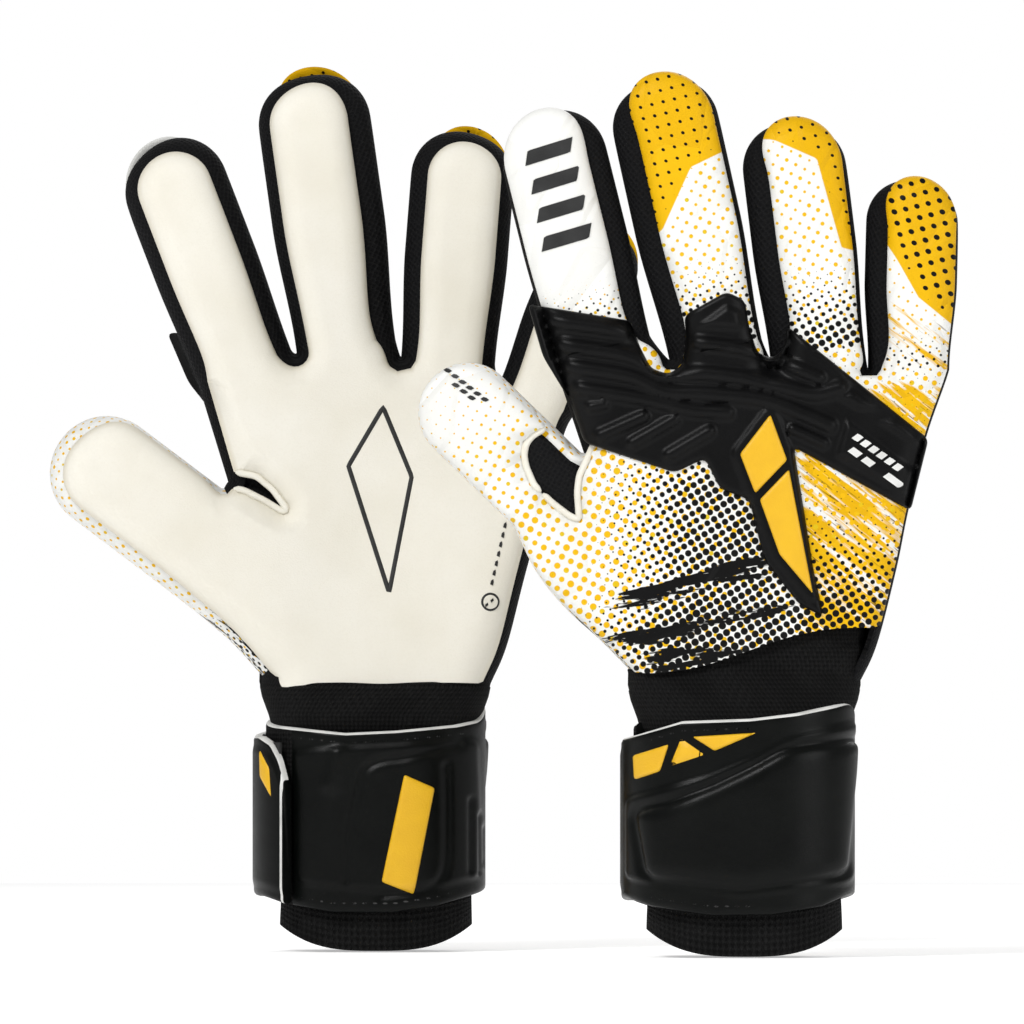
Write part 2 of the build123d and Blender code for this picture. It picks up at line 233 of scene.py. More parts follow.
class Glove:
    def __init__(self, side):
        self.side = side
        low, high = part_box(f"{side}_cuff_sleeve")
        self.x, self.y = (low[0] + high[0]) / 2, (low[1] + high[1]) / 2
        self.sign = 1 if side == "left" else -1
        self.digits = {name: Digit(self, name) for name in DIGITS}
        self.trace()

    def world(self, points):
        """Points (u, w, v) in the glove's frame, in the row's frame."""
        p = np.asarray(points, float) * MM
        return np.stack([self.x + p[:, 0], self.y + self.sign * p[:, 1], p[:, 2]], 1)

    def trace(self):
        """The silhouette from the thumb side of the cuff round to the other side, with its insets."""
        parts = []

        def add(tag, line, front, back, tuck=0.0):
            line = np.asarray(line)
            n = len(line)
            levels = [np.linspace(v[0], v[-1], n) if len(v) == 2 else v for v in (front, back)]
            parts.append((tag, line, *levels, np.full(n, tuck) if np.isscalar(tuck) else tuck))

        def web(a, b, pull=4.0, n=18):
            p0, p1 = a.place((a.half, 0)), b.place((-b.half, 0))
            t = np.linspace(0, 1, n)[1:-1, None]
            h = (2 * t ** 3 - 3 * t ** 2 + 1) * p0 - (t ** 3 - 2 * t ** 2 + t) * a.along * pull
            return h + (3 * t ** 2 - 2 * t ** 3) * p1 + (t ** 3 - t ** 2) * b.along * pull

        def between(points, *digits):
            line = curve(points, 1.3)
            for digit in digits:
                line = line[digit.local(line)[:, 1] < -0.4]
            return line

        thumb, index, little = (self.digits[name] for name in ("thumb", "index", "little"))
        start = thumb.place((-thumb.half, 0))
        edge = between([*THUMB_EDGE[self.side], start, start + thumb.along * 8], thumb)
        add("thumb_edge", edge, *EDGE_INSET["thumb_edge"])
        order = ["thumb"] + FINGERS
        for i, name in enumerate(order):
            digit = self.digits[name]
            path = resample(digit.sides(), 1.25)
            top = digit.length - digit.full
            angle = np.degrees(np.arctan2(np.maximum(path[:, 1] - top, 0), path[:, 0]))
            first, last = smooth(112, 165, angle), smooth(68, 15, angle)
            below = path[:, 1] < top
            first, last = [np.where(below, path[:, 0] * k < 0, v) for k, v in ((1, first), (-1, last))]
            insets = FRONT_INSET[name], BACK_INSET[name]
            profile = [a * first + c * last + b * (1 - first - last) for a, b, c in insets]
            tuck = TUCK[name] * np.exp(-((angle - CAP_LEAN[name]) / 42) ** 2) * (path[:, 1] >= top)
            add(name, digit.place(path), *profile, tuck)
            if name == "thumb":
                start = thumb.place([(thumb.half, 8), (thumb.half, 0)])
                end = index.place([(-index.half, 0), (-index.half, 8)])
                edge = between([*start, *CROTCH[self.side], *end], thumb, index)
                add("thumb_crotch", edge, *CROTCH_INSET)
            elif i < 4:
                line = web(digit, self.digits[order[i + 1]])
                add("web", line, (WEB_FRONT_INSET,) * 2, (WEB_BACK_INSET,) * 2)
        end = little.place((little.half, 0))
        edge = between([end + little.along * 8, end, *LITTLE_EDGE[self.side]], little)
        add("little_edge", edge, *EDGE_INSET["little_edge"])

        self.tags = np.concatenate([[part[0]] * len(part[1]) for part in parts])
        self.line = np.vstack([part[1] for part in parts])
        self.insets = [np.concatenate([part[k] for part in parts]) for k in (2, 3, 4)]
        for k in range(3):
            for _ in range(10):
                self.insets[k] = np.convolve(np.pad(self.insets[k], 2, "edge"), np.ones(5) / 5, "valid")
        ahead = np.gradient(self.line, axis=0)
        inward = unit(np.stack([ahead[:, 1], -ahead[:, 0]], 1))
        for _ in range(2):
            inward[1:-1] = (inward[:-2] + 2 * inward[1:-1] + inward[2:]) / 4
            inward = unit(inward)
        self.inward = inward
        self.along_line = lengths(self.line)

    def border(self, which):
        """The edge of the palm side's panels (0) or the back's (1)."""
        return self.line + self.inward * self.insets[which][:, None]

    def owner(self, points):
        """The digit that each point belongs to, or "hand"."""
        out = np.full(len(points), "hand", dtype="<U8")
        best = np.full(len(points), 1.0)
        for digit in self.digits.values():
            cs = digit.local(points)
            reach = np.abs(cs[:, 0]) / (digit.width(cs[:, 1]) + 0.6)
            hit = (cs[:, 1] > 0) & (cs[:, 1] < digit.length + 3) & (reach < best)
            out[hit], best[hit] = digit.name, reach[hit]
        return out

    def cuts(self):
        """The line across the foot of each digit."""
        return [(d.place((-d.half - 0.8, 0)), d.place((d.half + 0.8, 0))) for d in self.digits.values()]

    def curl(self, points):
        """The forward lean of the digits, as an offset in w."""
        shift = np.zeros(len(points))
        owners = self.owner(points)
        for digit in self.digits.values():
            mine = owners == digit.name
            s = digit.local(points[mine])[:, 1] / digit.length
            shift[mine] = -CURL * np.clip(s, 0, 1) ** 2
        return shift


GLOVES = {side: Glove(side) for side in ("left", "right")}


# ---------------------------------------------------------------- meshes

def build(glove, name, points, faces, materials, slot=None, uv=None, fields=None, flip=False, indices=None,
          period=None, sharp=50):
    """A mesh object from points (u, w, v) in the glove's frame, with UVs in units of 100 mm."""
    mesh = bpy.data.meshes.new(f"{glove.side}_{name}")
    turn = -1 if flip != (glove.sign < 0) else 1
    mesh.from_pydata(glove.world(points).tolist(), [], [[int(i) for i in f][::turn] for f in faces])
    mesh.polygons.foreach_set("use_smooth", [True] * len(mesh.polygons))
    loops = np.zeros(len(mesh.loops), int)
    mesh.loops.foreach_get("vertex_index", loops)
    flat = np.array(np.asarray(points)[:, [0, 2]] if uv is None else uv, float)[loops]
    if period is not None:
        # faces across the seam run on past the end of the texture instead of back over it
        quads = flat.reshape(-1, 4, 2)
        across = np.ptp(quads[:, :, 0], axis=1) > period / 2
        quads[across, :, 0] += np.where(quads[across, :, 0] < period / 2, period, 0)
    mesh.uv_layers.new(name="Glove").data.foreach_set("uv", (flat / 100).astype(np.float32).ravel())
    for key, values in (fields or {}).items():
        mesh.attributes.new(key, "FLOAT", "POINT").data.foreach_set("value", np.asarray(values, np.float32))
    for material in materials if isinstance(materials, list) else [materials]:
        mesh.materials.append(material)
    if indices is not None:
        mesh.polygons.foreach_set("material_index", indices)
    mesh.update()
    if sharp:
        mesh.set_sharp_from_angle(angle=math.radians(sharp))
    obj = bpy.data.objects.new(f"{glove.side}_{name}", mesh)
    bpy.context.scene.collection.objects.link(obj)
    return obj


def ring_faces(m, n, closed=False):
    """Quads over m rings of n points: joined end to end, or capped."""
    quads = [
        (i * n + j, (i + 1) % m * n + j, (i + 1) % m * n + (j + 1) % n, i * n + (j + 1) % n)
        for i in range(m if closed else m - 1) for j in range(n)
    ]
    return quads if closed else quads + [tuple(range(n)), tuple(range((m - 1) * n, m * n))[::-1]]


def split(glove, points, tris, owners, least=1):
    """Each owner with its own triangles, left out where there are too few."""
    found = glove.owner(points[tris].mean(1))
    for owner in owners:
        part = tris[found == owner]
        if len(part) >= least:
            yield owner, part


def attach(glove, obj, owner, nodes=()):
    """The object rides on the hand, or, if it belongs to a digit, has its transform baked into its mesh;
    nothing bends.
    """
    if owner in glove.digits:
        digit = glove.digits[owner]
        start, end = digit.root, digit.root + digit.along * BEND_REACH
        ends = glove.world(np.array([(start[0], -16.5, start[1]), (end[0], -16.5, end[1])]))
        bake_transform(obj)
    else:
        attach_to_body(obj, f"{glove.side}_{owner}")
    if nodes:
        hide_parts(*[f"{glove.side}_{node}" for node in nodes])
    return obj


def offset_rows(loop, depths):
    """Rows of points inside a loop, one for each depth."""
    ahead = np.roll(loop, -1, 0) - np.roll(loop, 1, 0)
    inward = unit(np.stack([ahead[:, 1], -ahead[:, 0]], 1))
    rows = [np.zeros((0, 2))]
    for depth in depths:
        row = loop + inward * depth
        row = row[distance(row, loop, True) > depth * 0.9]
        rows.append(row[::2] if depth > 2 else row)
    return np.vstack(rows)


def triangulate(outer, holes, spacing, cuts=(), depths=(0.35, 1.0, 2.2, 4.0, 6.4)):
    """Triangles over a region, with rows of points along its edge: (points, triangles)."""
    loops = [np.asarray(outer)] + [np.asarray(h) for h in holes]
    low, high = loops[0].min(0), loops[0].max(0)
    us, vs = np.arange(low[0], high[0], spacing), np.arange(low[1], high[1], spacing * 0.866)
    grid = np.array([(u + (k % 2) * spacing / 2, v) for k, v in enumerate(vs) for u in us])
    rows = offset_rows(loops[0], depths)
    near = np.min([distance(grid, loop, True) for loop in loops], 0)
    grid = grid[inside(grid, loops[0]) & (near > max(depths, default=0) * 0.8 + 0.5 * spacing)]
    free = np.vstack([grid, rows[inside(rows, loops[0])]])
    for hole in loops[1:]:
        free = free[~inside(free, hole) & (distance(free, hole, True) > 0.3)]
    coords, edges = [], []

    def fix(line, closed):
        base, n = len(coords), len(line)
        coords.extend(Vector(p) for p in line)
        edges.extend((base + i, base + (i + 1) % n) for i in range(n if closed else n - 1))

    for loop in loops:
        fix(loop, True)
    for ends in cuts:
        line = resample(np.array(ends), 1.3)
        fix(line, False)
        free = free[distance(free, line) > 0.35 * spacing]
    coords += [Vector(p) for p in free]
    verts, _, faces, *_ = delaunay_2d_cdt(coords, edges, [], 0, 1e-5)
    points, tris = np.array([(v.x, v.y) for v in verts]), np.array(list(faces))
    middle = points[tris].mean(1)
    keep = inside(middle, loops[0])
    for hole in loops[1:]:
        keep &= ~inside(middle, hole)
    tris = tris[keep]
    a, b, c = points[tris[:, 0]], points[tris[:, 1]], points[tris[:, 2]]
    area = (b[:, 0] - a[:, 0]) * (c[:, 1] - a[:, 1]) - (b[:, 1] - a[:, 1]) * (c[:, 0] - a[:, 0])
    tris[area < 0] = tris[area < 0][:, ::-1]
    return points, tris[np.abs(area) > 1e-7]


def shell(points, tris, top, under):
    """A closed shell over triangles: its face at w = top and its other side at w = under."""
    used, tris = np.unique(tris, return_inverse=True)
    tris = tris.reshape(-1, 3)
    n = len(used)
    p, top, under = points[used], top[used], under[used]
    low = np.where(np.abs(top - under) < 1e-3, np.arange(n), np.arange(n) + n)
    verts = np.vstack([raised(p, top), raised(p, under)])
    faces = [tuple(t) for t in tris] + [tuple(low[t][::-1]) for t in tris]
    edges = dict.fromkeys((t[i], t[i - 2]) for t in tris for i in range(3))
    for a, b in edges:
        if (b, a) not in edges:
            ring = [b, a, low[a], low[b]]
            faces.append(tuple(v for k, v in enumerate(ring) if v != ring[k - 1]))
    faces = [f for f in faces if len(set(f)) == len(f) > 2]
    keep = np.unique(np.concatenate(faces))
    remap = np.full(2 * n, -1)
    remap[keep] = np.arange(len(keep))
    source = np.concatenate([used, used])[keep]
    return verts[keep], [tuple(remap[list(f)]) for f in faces], source


# ---------------------------------------------------------------- materials

def rgba(value):
    return (*value, 1) if isinstance(value, tuple) else value


class Shader:
    """Short ways to put node materials together. Texture coordinates are the UVs, in millimetres."""

    def __init__(self, name, **constants):
        self.material = bpy.data.materials.new(name)
        self.material.use_nodes = True
        self.tree = self.material.node_tree
        self.surface = self.tree.nodes["Principled BSDF"]
        for key, value in constants.items():
            self.surface.inputs[key.replace("_", " ")].default_value = value
        self.uv = self.vector("SCALE", self.add("UVMap", {}, uv_map="Glove").outputs[0], scale=100.0)

    def put(self, socket, value):
        if isinstance(value, bpy.types.NodeSocket):
            self.tree.links.new(value, socket)
        else:
            socket.default_value = value

    def add(self, kind, inputs, **settings):
        """A new node with its settings and its inputs; an input of None is left alone."""
        node = self.tree.nodes.new("ShaderNode" + kind)
        for key, value in settings.items():
            setattr(node, key, value)
        for key, value in inputs.items():
            if value is not None:
                self.put(node.inputs[key], value)
        return node

    def math(self, kind, a, b=0.0, c=0.0, clamp=False):
        return self.add("Math", {0: a, 1: b, 2: c}, operation=kind, use_clamp=clamp).outputs[0]

    def vector(self, kind, a, b=None, scale=None):
        node = self.add("VectorMath", {0: a, 1: b, "Scale": scale}, operation=kind)
        return node.outputs["Value" if kind == "LENGTH" else "Vector"]

    def turned(self, angle, stretch=(1, 1, 1), shift=(0, 0, 0)):
        rotation = (0, 0, math.radians(angle))
        node = self.add("Mapping", {"Vector": self.uv, "Rotation": rotation}, vector_type="POINT")
        return self.vector("ADD", self.vector("MULTIPLY", node.outputs[0], stretch), shift)

    def noise(self, size, detail=2.0, source=None, rough=0.5):
        inputs = {"Scale": 1.0 / size, "Detail": detail, "Roughness": rough, "Vector": source or self.uv}
        return self.add("TexNoise", inputs).outputs[0]

    def voronoi(self, size, source, output="Distance", feature="F1", spread=1.0):
        inputs = {"Scale": 1.0 / size, "Randomness": spread, "Vector": source}
        return self.add("TexVoronoi", inputs, feature=feature).outputs[output]

    def attribute(self, name):
        return self.add("Attribute", {}, attribute_name=name).outputs["Fac"]

    def mix(self, a, b, share):
        return self.add("Mix", {"Factor": share, 6: rgba(a), 7: rgba(b)}, data_type="RGBA").outputs[2]

    def step(self, value, soft=0.12, at=0.0):
        """0 below at, 1 above it, over a width of soft."""
        return self.math("MULTIPLY_ADD", self.math("SUBTRACT", value, at), 1 / soft, 0.5, True)

    def dots(self, spacing, radius, angle, jitter, flat=1.0):
        """Round dots on a diagonal grid, some smaller by jitter; the radius is in millimetres."""
        p = self.turned(angle, (1 / spacing, 1 / spacing, 0))
        masks = []
        for shift in ((0.0, 0.0, 0), (0.5, 0.5, 0)):
            q = self.vector("ADD", p, shift)
            cell = self.vector("SUBTRACT", self.vector("FRACTION", q), (0.5, 0.5, 0))
            white = self.add("TexWhiteNoise", {"Vector": self.vector("FLOOR", q)}, noise_dimensions="2D")
            r = self.math("MULTIPLY", radius, self.math("MULTIPLY_ADD", white.outputs[0], jitter, 1 - jitter))
            cell = self.vector("MULTIPLY", cell, (spacing, spacing * flat, 0))
            masks.append(self.step(self.math("SUBTRACT", r, self.vector("LENGTH", cell)), 0.16))
        return self.math("MAXIMUM", *masks)

    def bump(self, height, strength, size, before=None):
        inputs = {"Strength": strength, "Distance": size, "Height": height, "Normal": before}
        node = self.add("Bump", inputs)
        self.put(self.surface.inputs["Normal"], node.outputs[0])
        return node.outputs[0]

    def colour(self, value):
        self.put(self.surface.inputs["Base Color"], rgba(value))


def latex_material():
    s = Shader("latex_cream", Roughness=0.72, Sheen_Weight=0.15, Specular_IOR_Level=0.3)
    tone = s.mix((0.80, 0.775, 0.70), (0.71, 0.675, 0.575), s.step(s.noise(38.0, 3.0), 0.55, 0.55))
    speck = s.math("MULTIPLY", s.step(s.noise(0.9), 0.3, 0.62), 0.25)
    tone = s.mix(tone, (0.70, 0.66, 0.56), speck)
    # Painted shade: within about 2 mm of the panel's edge, where it turns down into the seam, the latex
    # darkens to a yellowish grey.
    s.colour(s.mix((0.66, 0.61, 0.49), tone, s.step(s.attribute("edge"), 2.2, 0.7)))
    fine = s.bump(s.noise(0.55, 3.0), 0.22, 0.0004)
    s.bump(s.noise(16.0), 0.25, 0.0012, fine)
    return s.material


def mesh_material():
    s = Shader("mesh_black", Roughness=0.82, Specular_IOR_Level=0.12)
    cells = s.voronoi(1.5, s.turned(30), spread=0.25)
    hole = s.step(cells, 0.25, 0.62)
    # Painted shade: the colour follows the bump's cells and is darker in the low cell centres, the mesh's
    # holes.
    s.colour(s.mix((0.002, 0.002, 0.0025), (0.009, 0.009, 0.0095), s.step(cells, 0.5, 0.4)))
    s.bump(s.math("ADD", cells, s.math("MULTIPLY", hole, 0.6)), 0.8, 0.0006)
    return s.material


def knit_material(name, pitch, rib):
    """Black knit: columns a pitch apart, rows a rib apart and a patchy cover of loops and fuzz."""
    s = Shader(name, Roughness=0.9, Specular_IOR_Level=0.12)
    place = s.add("SeparateXYZ", {0: s.uv}).outputs
    wales = s.math("SINE", s.math("MULTIPLY", place[0], 2 * math.pi / pitch))
    phase = s.math("ADD", place[1], s.math("MULTIPLY", s.math("ABSOLUTE", wales), 0.55))
    rows = s.math("SINE", s.math("MULTIPLY", phase, 2 * math.pi / rib))
    patch = s.step(s.noise(13.0, 1.0), 0.2, 0.5)
    lumps = s.voronoi(1.9, s.turned(45), spread=0.15)
    height = s.math("ADD", s.math("MULTIPLY", wales, 0.5), s.math("MULTIPLY", rows, 0.5))
    height = s.math("ADD", height, s.math("MULTIPLY", s.math("MULTIPLY", lumps, patch), 1.6))
    height = s.math("ADD", height, s.noise(0.5, 3.0))
    # Painted shade: the knit's colour follows its bump height, darker in the grooves and lighter on the
    # raised ribs, loops and fuzz.
    s.colour(s.mix((0.002, 0.002, 0.002), (0.012, 0.012, 0.012), s.step(height, 2.4, 1.0)))
    s.bump(height, 0.9, 0.0006)
    return s.material


def coated_material(name, rough, base, light):
    """Coated foam and moulded rubber: satin black with a fine grain."""
    s = Shader(name, Specular_IOR_Level=0.13)
    cloud = s.noise(14.0, 3.0)
    s.colour(s.mix(base, light, s.step(cloud, 0.5, 0.55)))
    s.put(s.surface.inputs["Roughness"], s.math("MULTIPLY_ADD", cloud, 0.12, rough - 0.06))
    fine = s.bump(s.noise(0.35, 3.0), 0.25, 0.0003)
    s.bump(s.noise(7.0), 0.12, 0.0008, fine)
    return s.material


def plain_material(name, base, dark, rough=0.5, grain=0.6):
    s = Shader(name, Roughness=rough)
    s.colour(s.mix(base, dark, s.step(s.noise(9.0, 3.0), 0.5, 0.58)))
    s.bump(s.noise(grain, 3.0), 0.25, 0.0004)
    return s.material


WHITE, OFF_WHITE = (0.81, 0.81, 0.785), (0.73, 0.725, 0.69)
YELLOW, DEEP_YELLOW = (0.76, 0.435, 0.004), (0.66, 0.36, 0.003)
LIME = (0.56, 0.50, 0.02)
INK = (0.004, 0.004, 0.004)


def print_material():
    """The printed foam of the back: facets, yellow fields, streaks, halftone dots and brush strokes."""
    s = Shader("printed_back", Roughness=0.52, Specular_IOR_Level=0.1)
    facets = s.turned(25, (1, 0.62, 1))
    tint = s.add("SeparateColor", {0: s.voronoi(15.0, facets, "Color")}).outputs[0]
    share = s.math("MULTIPLY", tint, 0.7)
    white, yellow = s.mix(WHITE, OFF_WHITE, share), s.mix(YELLOW, DEEP_YELLOW, share)
    streak = s.noise(1.0, 3.0, s.turned(-52, (0.42, 0.035, 1)), 0.6)
    field = s.attribute("streak")
    base = s.mix(white, yellow, s.step(s.math("ADD", streak, field), 0.10, 1.02))
    brown = s.noise(1.0, 3.0, s.turned(-52, (0.62, 0.045, 1), (31, 7, 0)), 0.6)
    brown = s.math("MULTIPLY_ADD", field, 0.42, brown)
    base = s.mix(base, (0.16, 0.085, 0.004), s.step(brown, 0.08, 0.87))
    base = s.mix(base, yellow, s.step(s.attribute("yellow"), 0.3))
    speckle = s.dots(4.7, s.attribute("specks"), -18, 0.35)
    base = s.mix(base, s.mix(YELLOW, LIME, s.step(s.noise(5.0, 1.0), 0.25, 0.68)), speckle)
    base = s.mix(base, INK, s.dots(3.7, s.attribute("tone"), 14, 0.18))
    base = s.mix(base, INK, s.dots(5.4, s.attribute("holes"), 31, 0.12, 1.25))
    strokes = s.noise(1.0, 4.0, s.turned(-9, (0.045, 0.34, 1)), 0.62)
    s.colour(s.mix(base, INK, s.step(s.math("ADD", strokes, s.attribute("brush")), 0.04, 0.98)))
    crease = s.voronoi(15.0, facets, feature="DISTANCE_TO_EDGE")
    first = s.bump(s.step(crease, 0.10, 0.05), 0.55, 0.0007)
    s.bump(s.noise(0.7, 3.0), 0.18, 0.0004, first)
    return s.material


LATEX = latex_material()
MESH = mesh_material()
KNIT = knit_material("knit_sleeve", 1.9, 2.3)
BAND = knit_material("knit_band", 1.3, 1.5)
PRINT = print_material()
PUNCH = coated_material("punch_rubber", 0.38, (0.0018, 0.0018, 0.0019), (0.0034, 0.0034, 0.0036))
STRAP = coated_material("strap_coated", 0.32, (0.0010, 0.0014, 0.0012), (0.0024, 0.0030, 0.0026))
GOLD = plain_material("emblem_yellow", YELLOW, (0.70, 0.38, 0.003), 0.46)
BINDING = plain_material("binding_cream", (0.80, 0.78, 0.70), (0.66, 0.62, 0.52), 0.8, 0.9)
EDGE_WHITE = plain_material("cut_edge", (0.74, 0.74, 0.72), (0.45, 0.45, 0.43), 0.85, 0.7)
THREAD = plain_material("thread", (0.035, 0.035, 0.035), (0.02, 0.02, 0.02), 0.7, 0.5)
PRINT_BLACK = plain_material("print_black", INK, (0.02, 0.02, 0.02), 0.55, 0.5)
BADGE_WHITE = plain_material("badge_white", (0.72, 0.72, 0.70), (0.55, 0.55, 0.53), 0.6, 0.6)
PILE = plain_material("loop_pile", (0.014, 0.014, 0.014), (0.03, 0.03, 0.03), 0.95, 0.9)


# ---------------------------------------------------------------- panels of the hand and fingers

# Swellings of the palm, as height, place and spread: ball of the thumb, heel of the hand, hollow between
PALM_SWELLS = [(1.6, (-34, 124), (18, 20)), (1.0, (30, 126), (14, 26)), (-1.2, (0, 146), (20, 26))]


def panel_levels(glove, which, points, sides, holes=()):
    """Where a panel's face and its inner side are, in w, and how far each point is from its edge."""
    low = smooth(132, 90, points[:, 1])
    face = FACE[which] + (3.0, 3.6)[which] * low
    for height, at, size in PALM_SWELLS if which == 0 else []:
        face = face + height * np.exp(-(((points - at) / size) ** 2).sum(1))
    near = np.min([distance(points, sides)] + [distance(points, hole, True) for hole in holes], 0)
    rise = (face - SEAM[which]) * dome(near / (7.6 + 5.0 * low))
    curl = glove.curl(points)
    top, under = [OUTWARD[which] * (SEAM[which] + r) + curl for r in (rise, np.maximum(rise - FOAM, 0))]
    return top, under, near


SLIT = [
    (-52.5, 160.0), (-47.5, 158.6), (-39.5, 157.2), (-34.0, 152.6), (-29.2, 146.0), (-30.6, 145.2),
    (-36.4, 148.8), (-44.0, 152.6), (-49.0, 153.0), (-54.0, 153.5),
]
VENT = [
    (-71.6, 168.6), (-69.4, 171.2), (-66.4, 172.8), (-61.5, 177.0), (-54.0, 177.0), (-47.5, 173.5),
    (-49.5, 168.0), (-51.8, 163.0), (-54.2, 158.0), (-54.9, 152.4), (-54.2, 143.2), (-57.5, 144.6),
    (-63.5, 149.2), (-69.1, 154.7), (-71.8, 161.0), (-72.4, 165.0),
]
NOTCH_SHIFT = {"left": [(0.0, 0.0), (3.4, -12.4)], "right": [(-2.4, 12.6), (0.0, 0.0)]}


def notch(glove, which):
    return rounded(np.array((SLIT, VENT)[which]) + NOTCH_SHIFT[glove.side][which], 1.6, 0.8)


def foot_line(which):
    if which == 0:
        us = np.linspace(34.0, -31.0, 40)
        return np.stack([us, FOOT + 0.8 * np.sin(us / 14)], 1)
    us = np.linspace(42.0, -33.0, 40)
    return np.stack([us, 93.0 + 15.5 * smooth(-38, 44, us) + 0.9 * np.sin(us / 11)], 1)


def panel_outline(glove, which):
    """The panel's closed outline and the part of it that is a seam."""
    sides = glove.border(which)
    foot = foot_line(which)
    level = np.interp(sides[:, 0], foot[::-1, 0], foot[::-1, 1])
    keep = sides[:, 1] > level - 0.01
    first, last = np.argmax(keep), len(keep) - np.argmax(keep[::-1])
    sides = sides[first:last]
    inner = foot[(foot[:, 0] < sides[-1, 0] - 0.8) & (foot[:, 0] > sides[0, 0] + 0.8)]
    return np.vstack([sides, inner]), sides


def face_level(glove, which, points):
    """The level of the outer face of the palm's or the back's panels."""
    return panel_levels(glove, which, points, panel_outline(glove, which)[1])[0]


FINGER_YELLOW = {
    "middle": [(-26, 105), (-26, 36), (-8.5, 42), (5.0, 60), (26, 65), (26, 105)],
    "ring": [(-26, 90), (-26, 74), (-6, 71), (7.5, 63), (10, 46), (12, 33), (26, 28), (26, 90)],
    "little": [(-26, 80), (-26, 50), (-10, 43), (-5, 36), (2.5, 23.5), (14.8, 14), (26, 9), (26, 80)],
}


def print_fields(glove, points):
    """The densities that drive the print on the back of the hand, for each point."""
    out = {key: np.zeros(len(points)) for key in ("yellow", "tone", "specks", "streak", "brush", "holes")}
    out["yellow"][:] = NO_YELLOW
    owner = glove.owner(points)

    def paint(mine, **fields):
        for key, values in fields.items():
            out[key][mine] = values[mine]

    # black halftone: grows to the middle and to the foot of the hand
    u, v = points.T
    reach = v + (6.0 if glove.side == "left" else 0.0)
    tone = 0.15 + 1.05 * smooth(-56, -10, u) * smooth(178, 150, reach) + 0.35 * smooth(122, 104, v)
    tone = np.clip(tone - 0.3 * smooth(-38, -66, u), 0, 1.32)
    tone = np.where(u > 10, 0.25 + 0.95 * smooth(150, 112, v) - 0.1 * smooth(20, 45, u), tone)
    upper = np.exp(-((v - 122 - 0.25 * (u + 20)) / 8.0) ** 2)
    lower = 0.95 * np.exp(-((v - 108 - 0.2 * (u + 20)) / 4.5) ** 2)
    brush = 0.54 * np.maximum(upper, lower) * smooth(-82, -30, u) * smooth(34, 10, u)
    brush += 0.52 * smooth(110, 97, v) * smooth(-48, -24, u) * smooth(30, 12, u)
    streak = 0.57 * (smooth(8, 22, u) * smooth(196, 184, v))
    paint(owner == "hand", tone=tone, specks=1.15 - 0.25 * smooth(-30, 0, u), streak=streak, brush=brush)
    for name, digit in glove.digits.items():
        mine = owner == name
        cs = digit.local(points)
        s = cs[:, 1]
        if name in FINGER_YELLOW:
            gold = signed(cs, FINGER_YELLOW[name])
            holes = 0.78 * smooth(1.5, 3.0, gold) * (1.35 if name == "little" else 0.85)
            paint(mine, yellow=gold, holes=holes)
        clear = smooth(1.0, -2.0, out["yellow"])
        if name == "thumb":
            paint(mine, specks=0.25 + 0.6 * smooth(46, 10, s))
        elif name == "index":
            paint(mine, tone=1.05 * smooth(24, 0, s), specks=0.85 * smooth(26, 4, s))
        elif name == "little":
            paint(mine, tone=0.6 * smooth(16, 0, s), specks=0.5 * clear)
            paint(mine, streak=0.46 * smooth(50, 8, s) * clear)
        else:
            paint(mine, tone=1.15 * smooth(34, 0, s) * clear, specks=0.72 * clear)
        if name == "ring":
            paint(mine, streak=0.30 * smooth(16, 0, s))
    return out


def make_panels(glove, which):
    """The palm's or the back's panels, cut at the foot of each digit."""
    outline, sides = panel_outline(glove, which)
    hole = notch(glove, which)
    points, tris = triangulate(outline, [hole], (2.0, 1.6)[which], glove.cuts())
    ring = hole[inside(hole, outline)]
    top, under, near = panel_levels(glove, which, points, sides, [ring] if len(ring) else [])
    material, slot, kind = ((LATEX, "latex", "latex"), (PRINT, "printed_back", "back"))[which]
    hand_nodes = (["palm_latex", "palm_foam"], ["backhand_panel"])[which]
    for owner, part in split(glove, points, tris, ["hand"] + DIGITS):
        verts, faces, source = shell(points, part, top, under)
        fields = {"edge": near[source]} if which == 0 else print_fields(glove, points[source])
        name = f"{owner}_{kind}_panel"
        obj = build(glove, name, verts, faces, material, slot, fields=fields, flip=which == 1)
        attach(glove, obj, owner, hand_nodes if owner == "hand" else [f"{owner}_{kind}"])


WALL_ROWS, WALL_THICK, WALL_TURN = 11, 1.5, math.radians(76)


def wall_section(glove, index, push):
    """Points down one section of the mesh wall, from the palm side's seam to the back's, and their levels."""
    phis = np.linspace(-1, 1, WALL_ROWS)
    angle = phis * WALL_TURN
    bow = (1 - np.cos(angle)) / (1 - math.cos(WALL_TURN))
    tuck = glove.insets[2][index]
    front, back = glove.insets[0][index] + 1.5 - tuck, np.maximum(glove.insets[1][index] + 1.5 - tuck, 0.6)
    depth = tuck + np.where(phis < 0, front, back) * bow + push
    w = np.where(phis < 0, 9.6, 7.6) * np.sin(angle) / math.sin(WALL_TURN) * (1 - 0.05 * push)
    return glove.line[index] + glove.inward[index] * depth[:, None], w


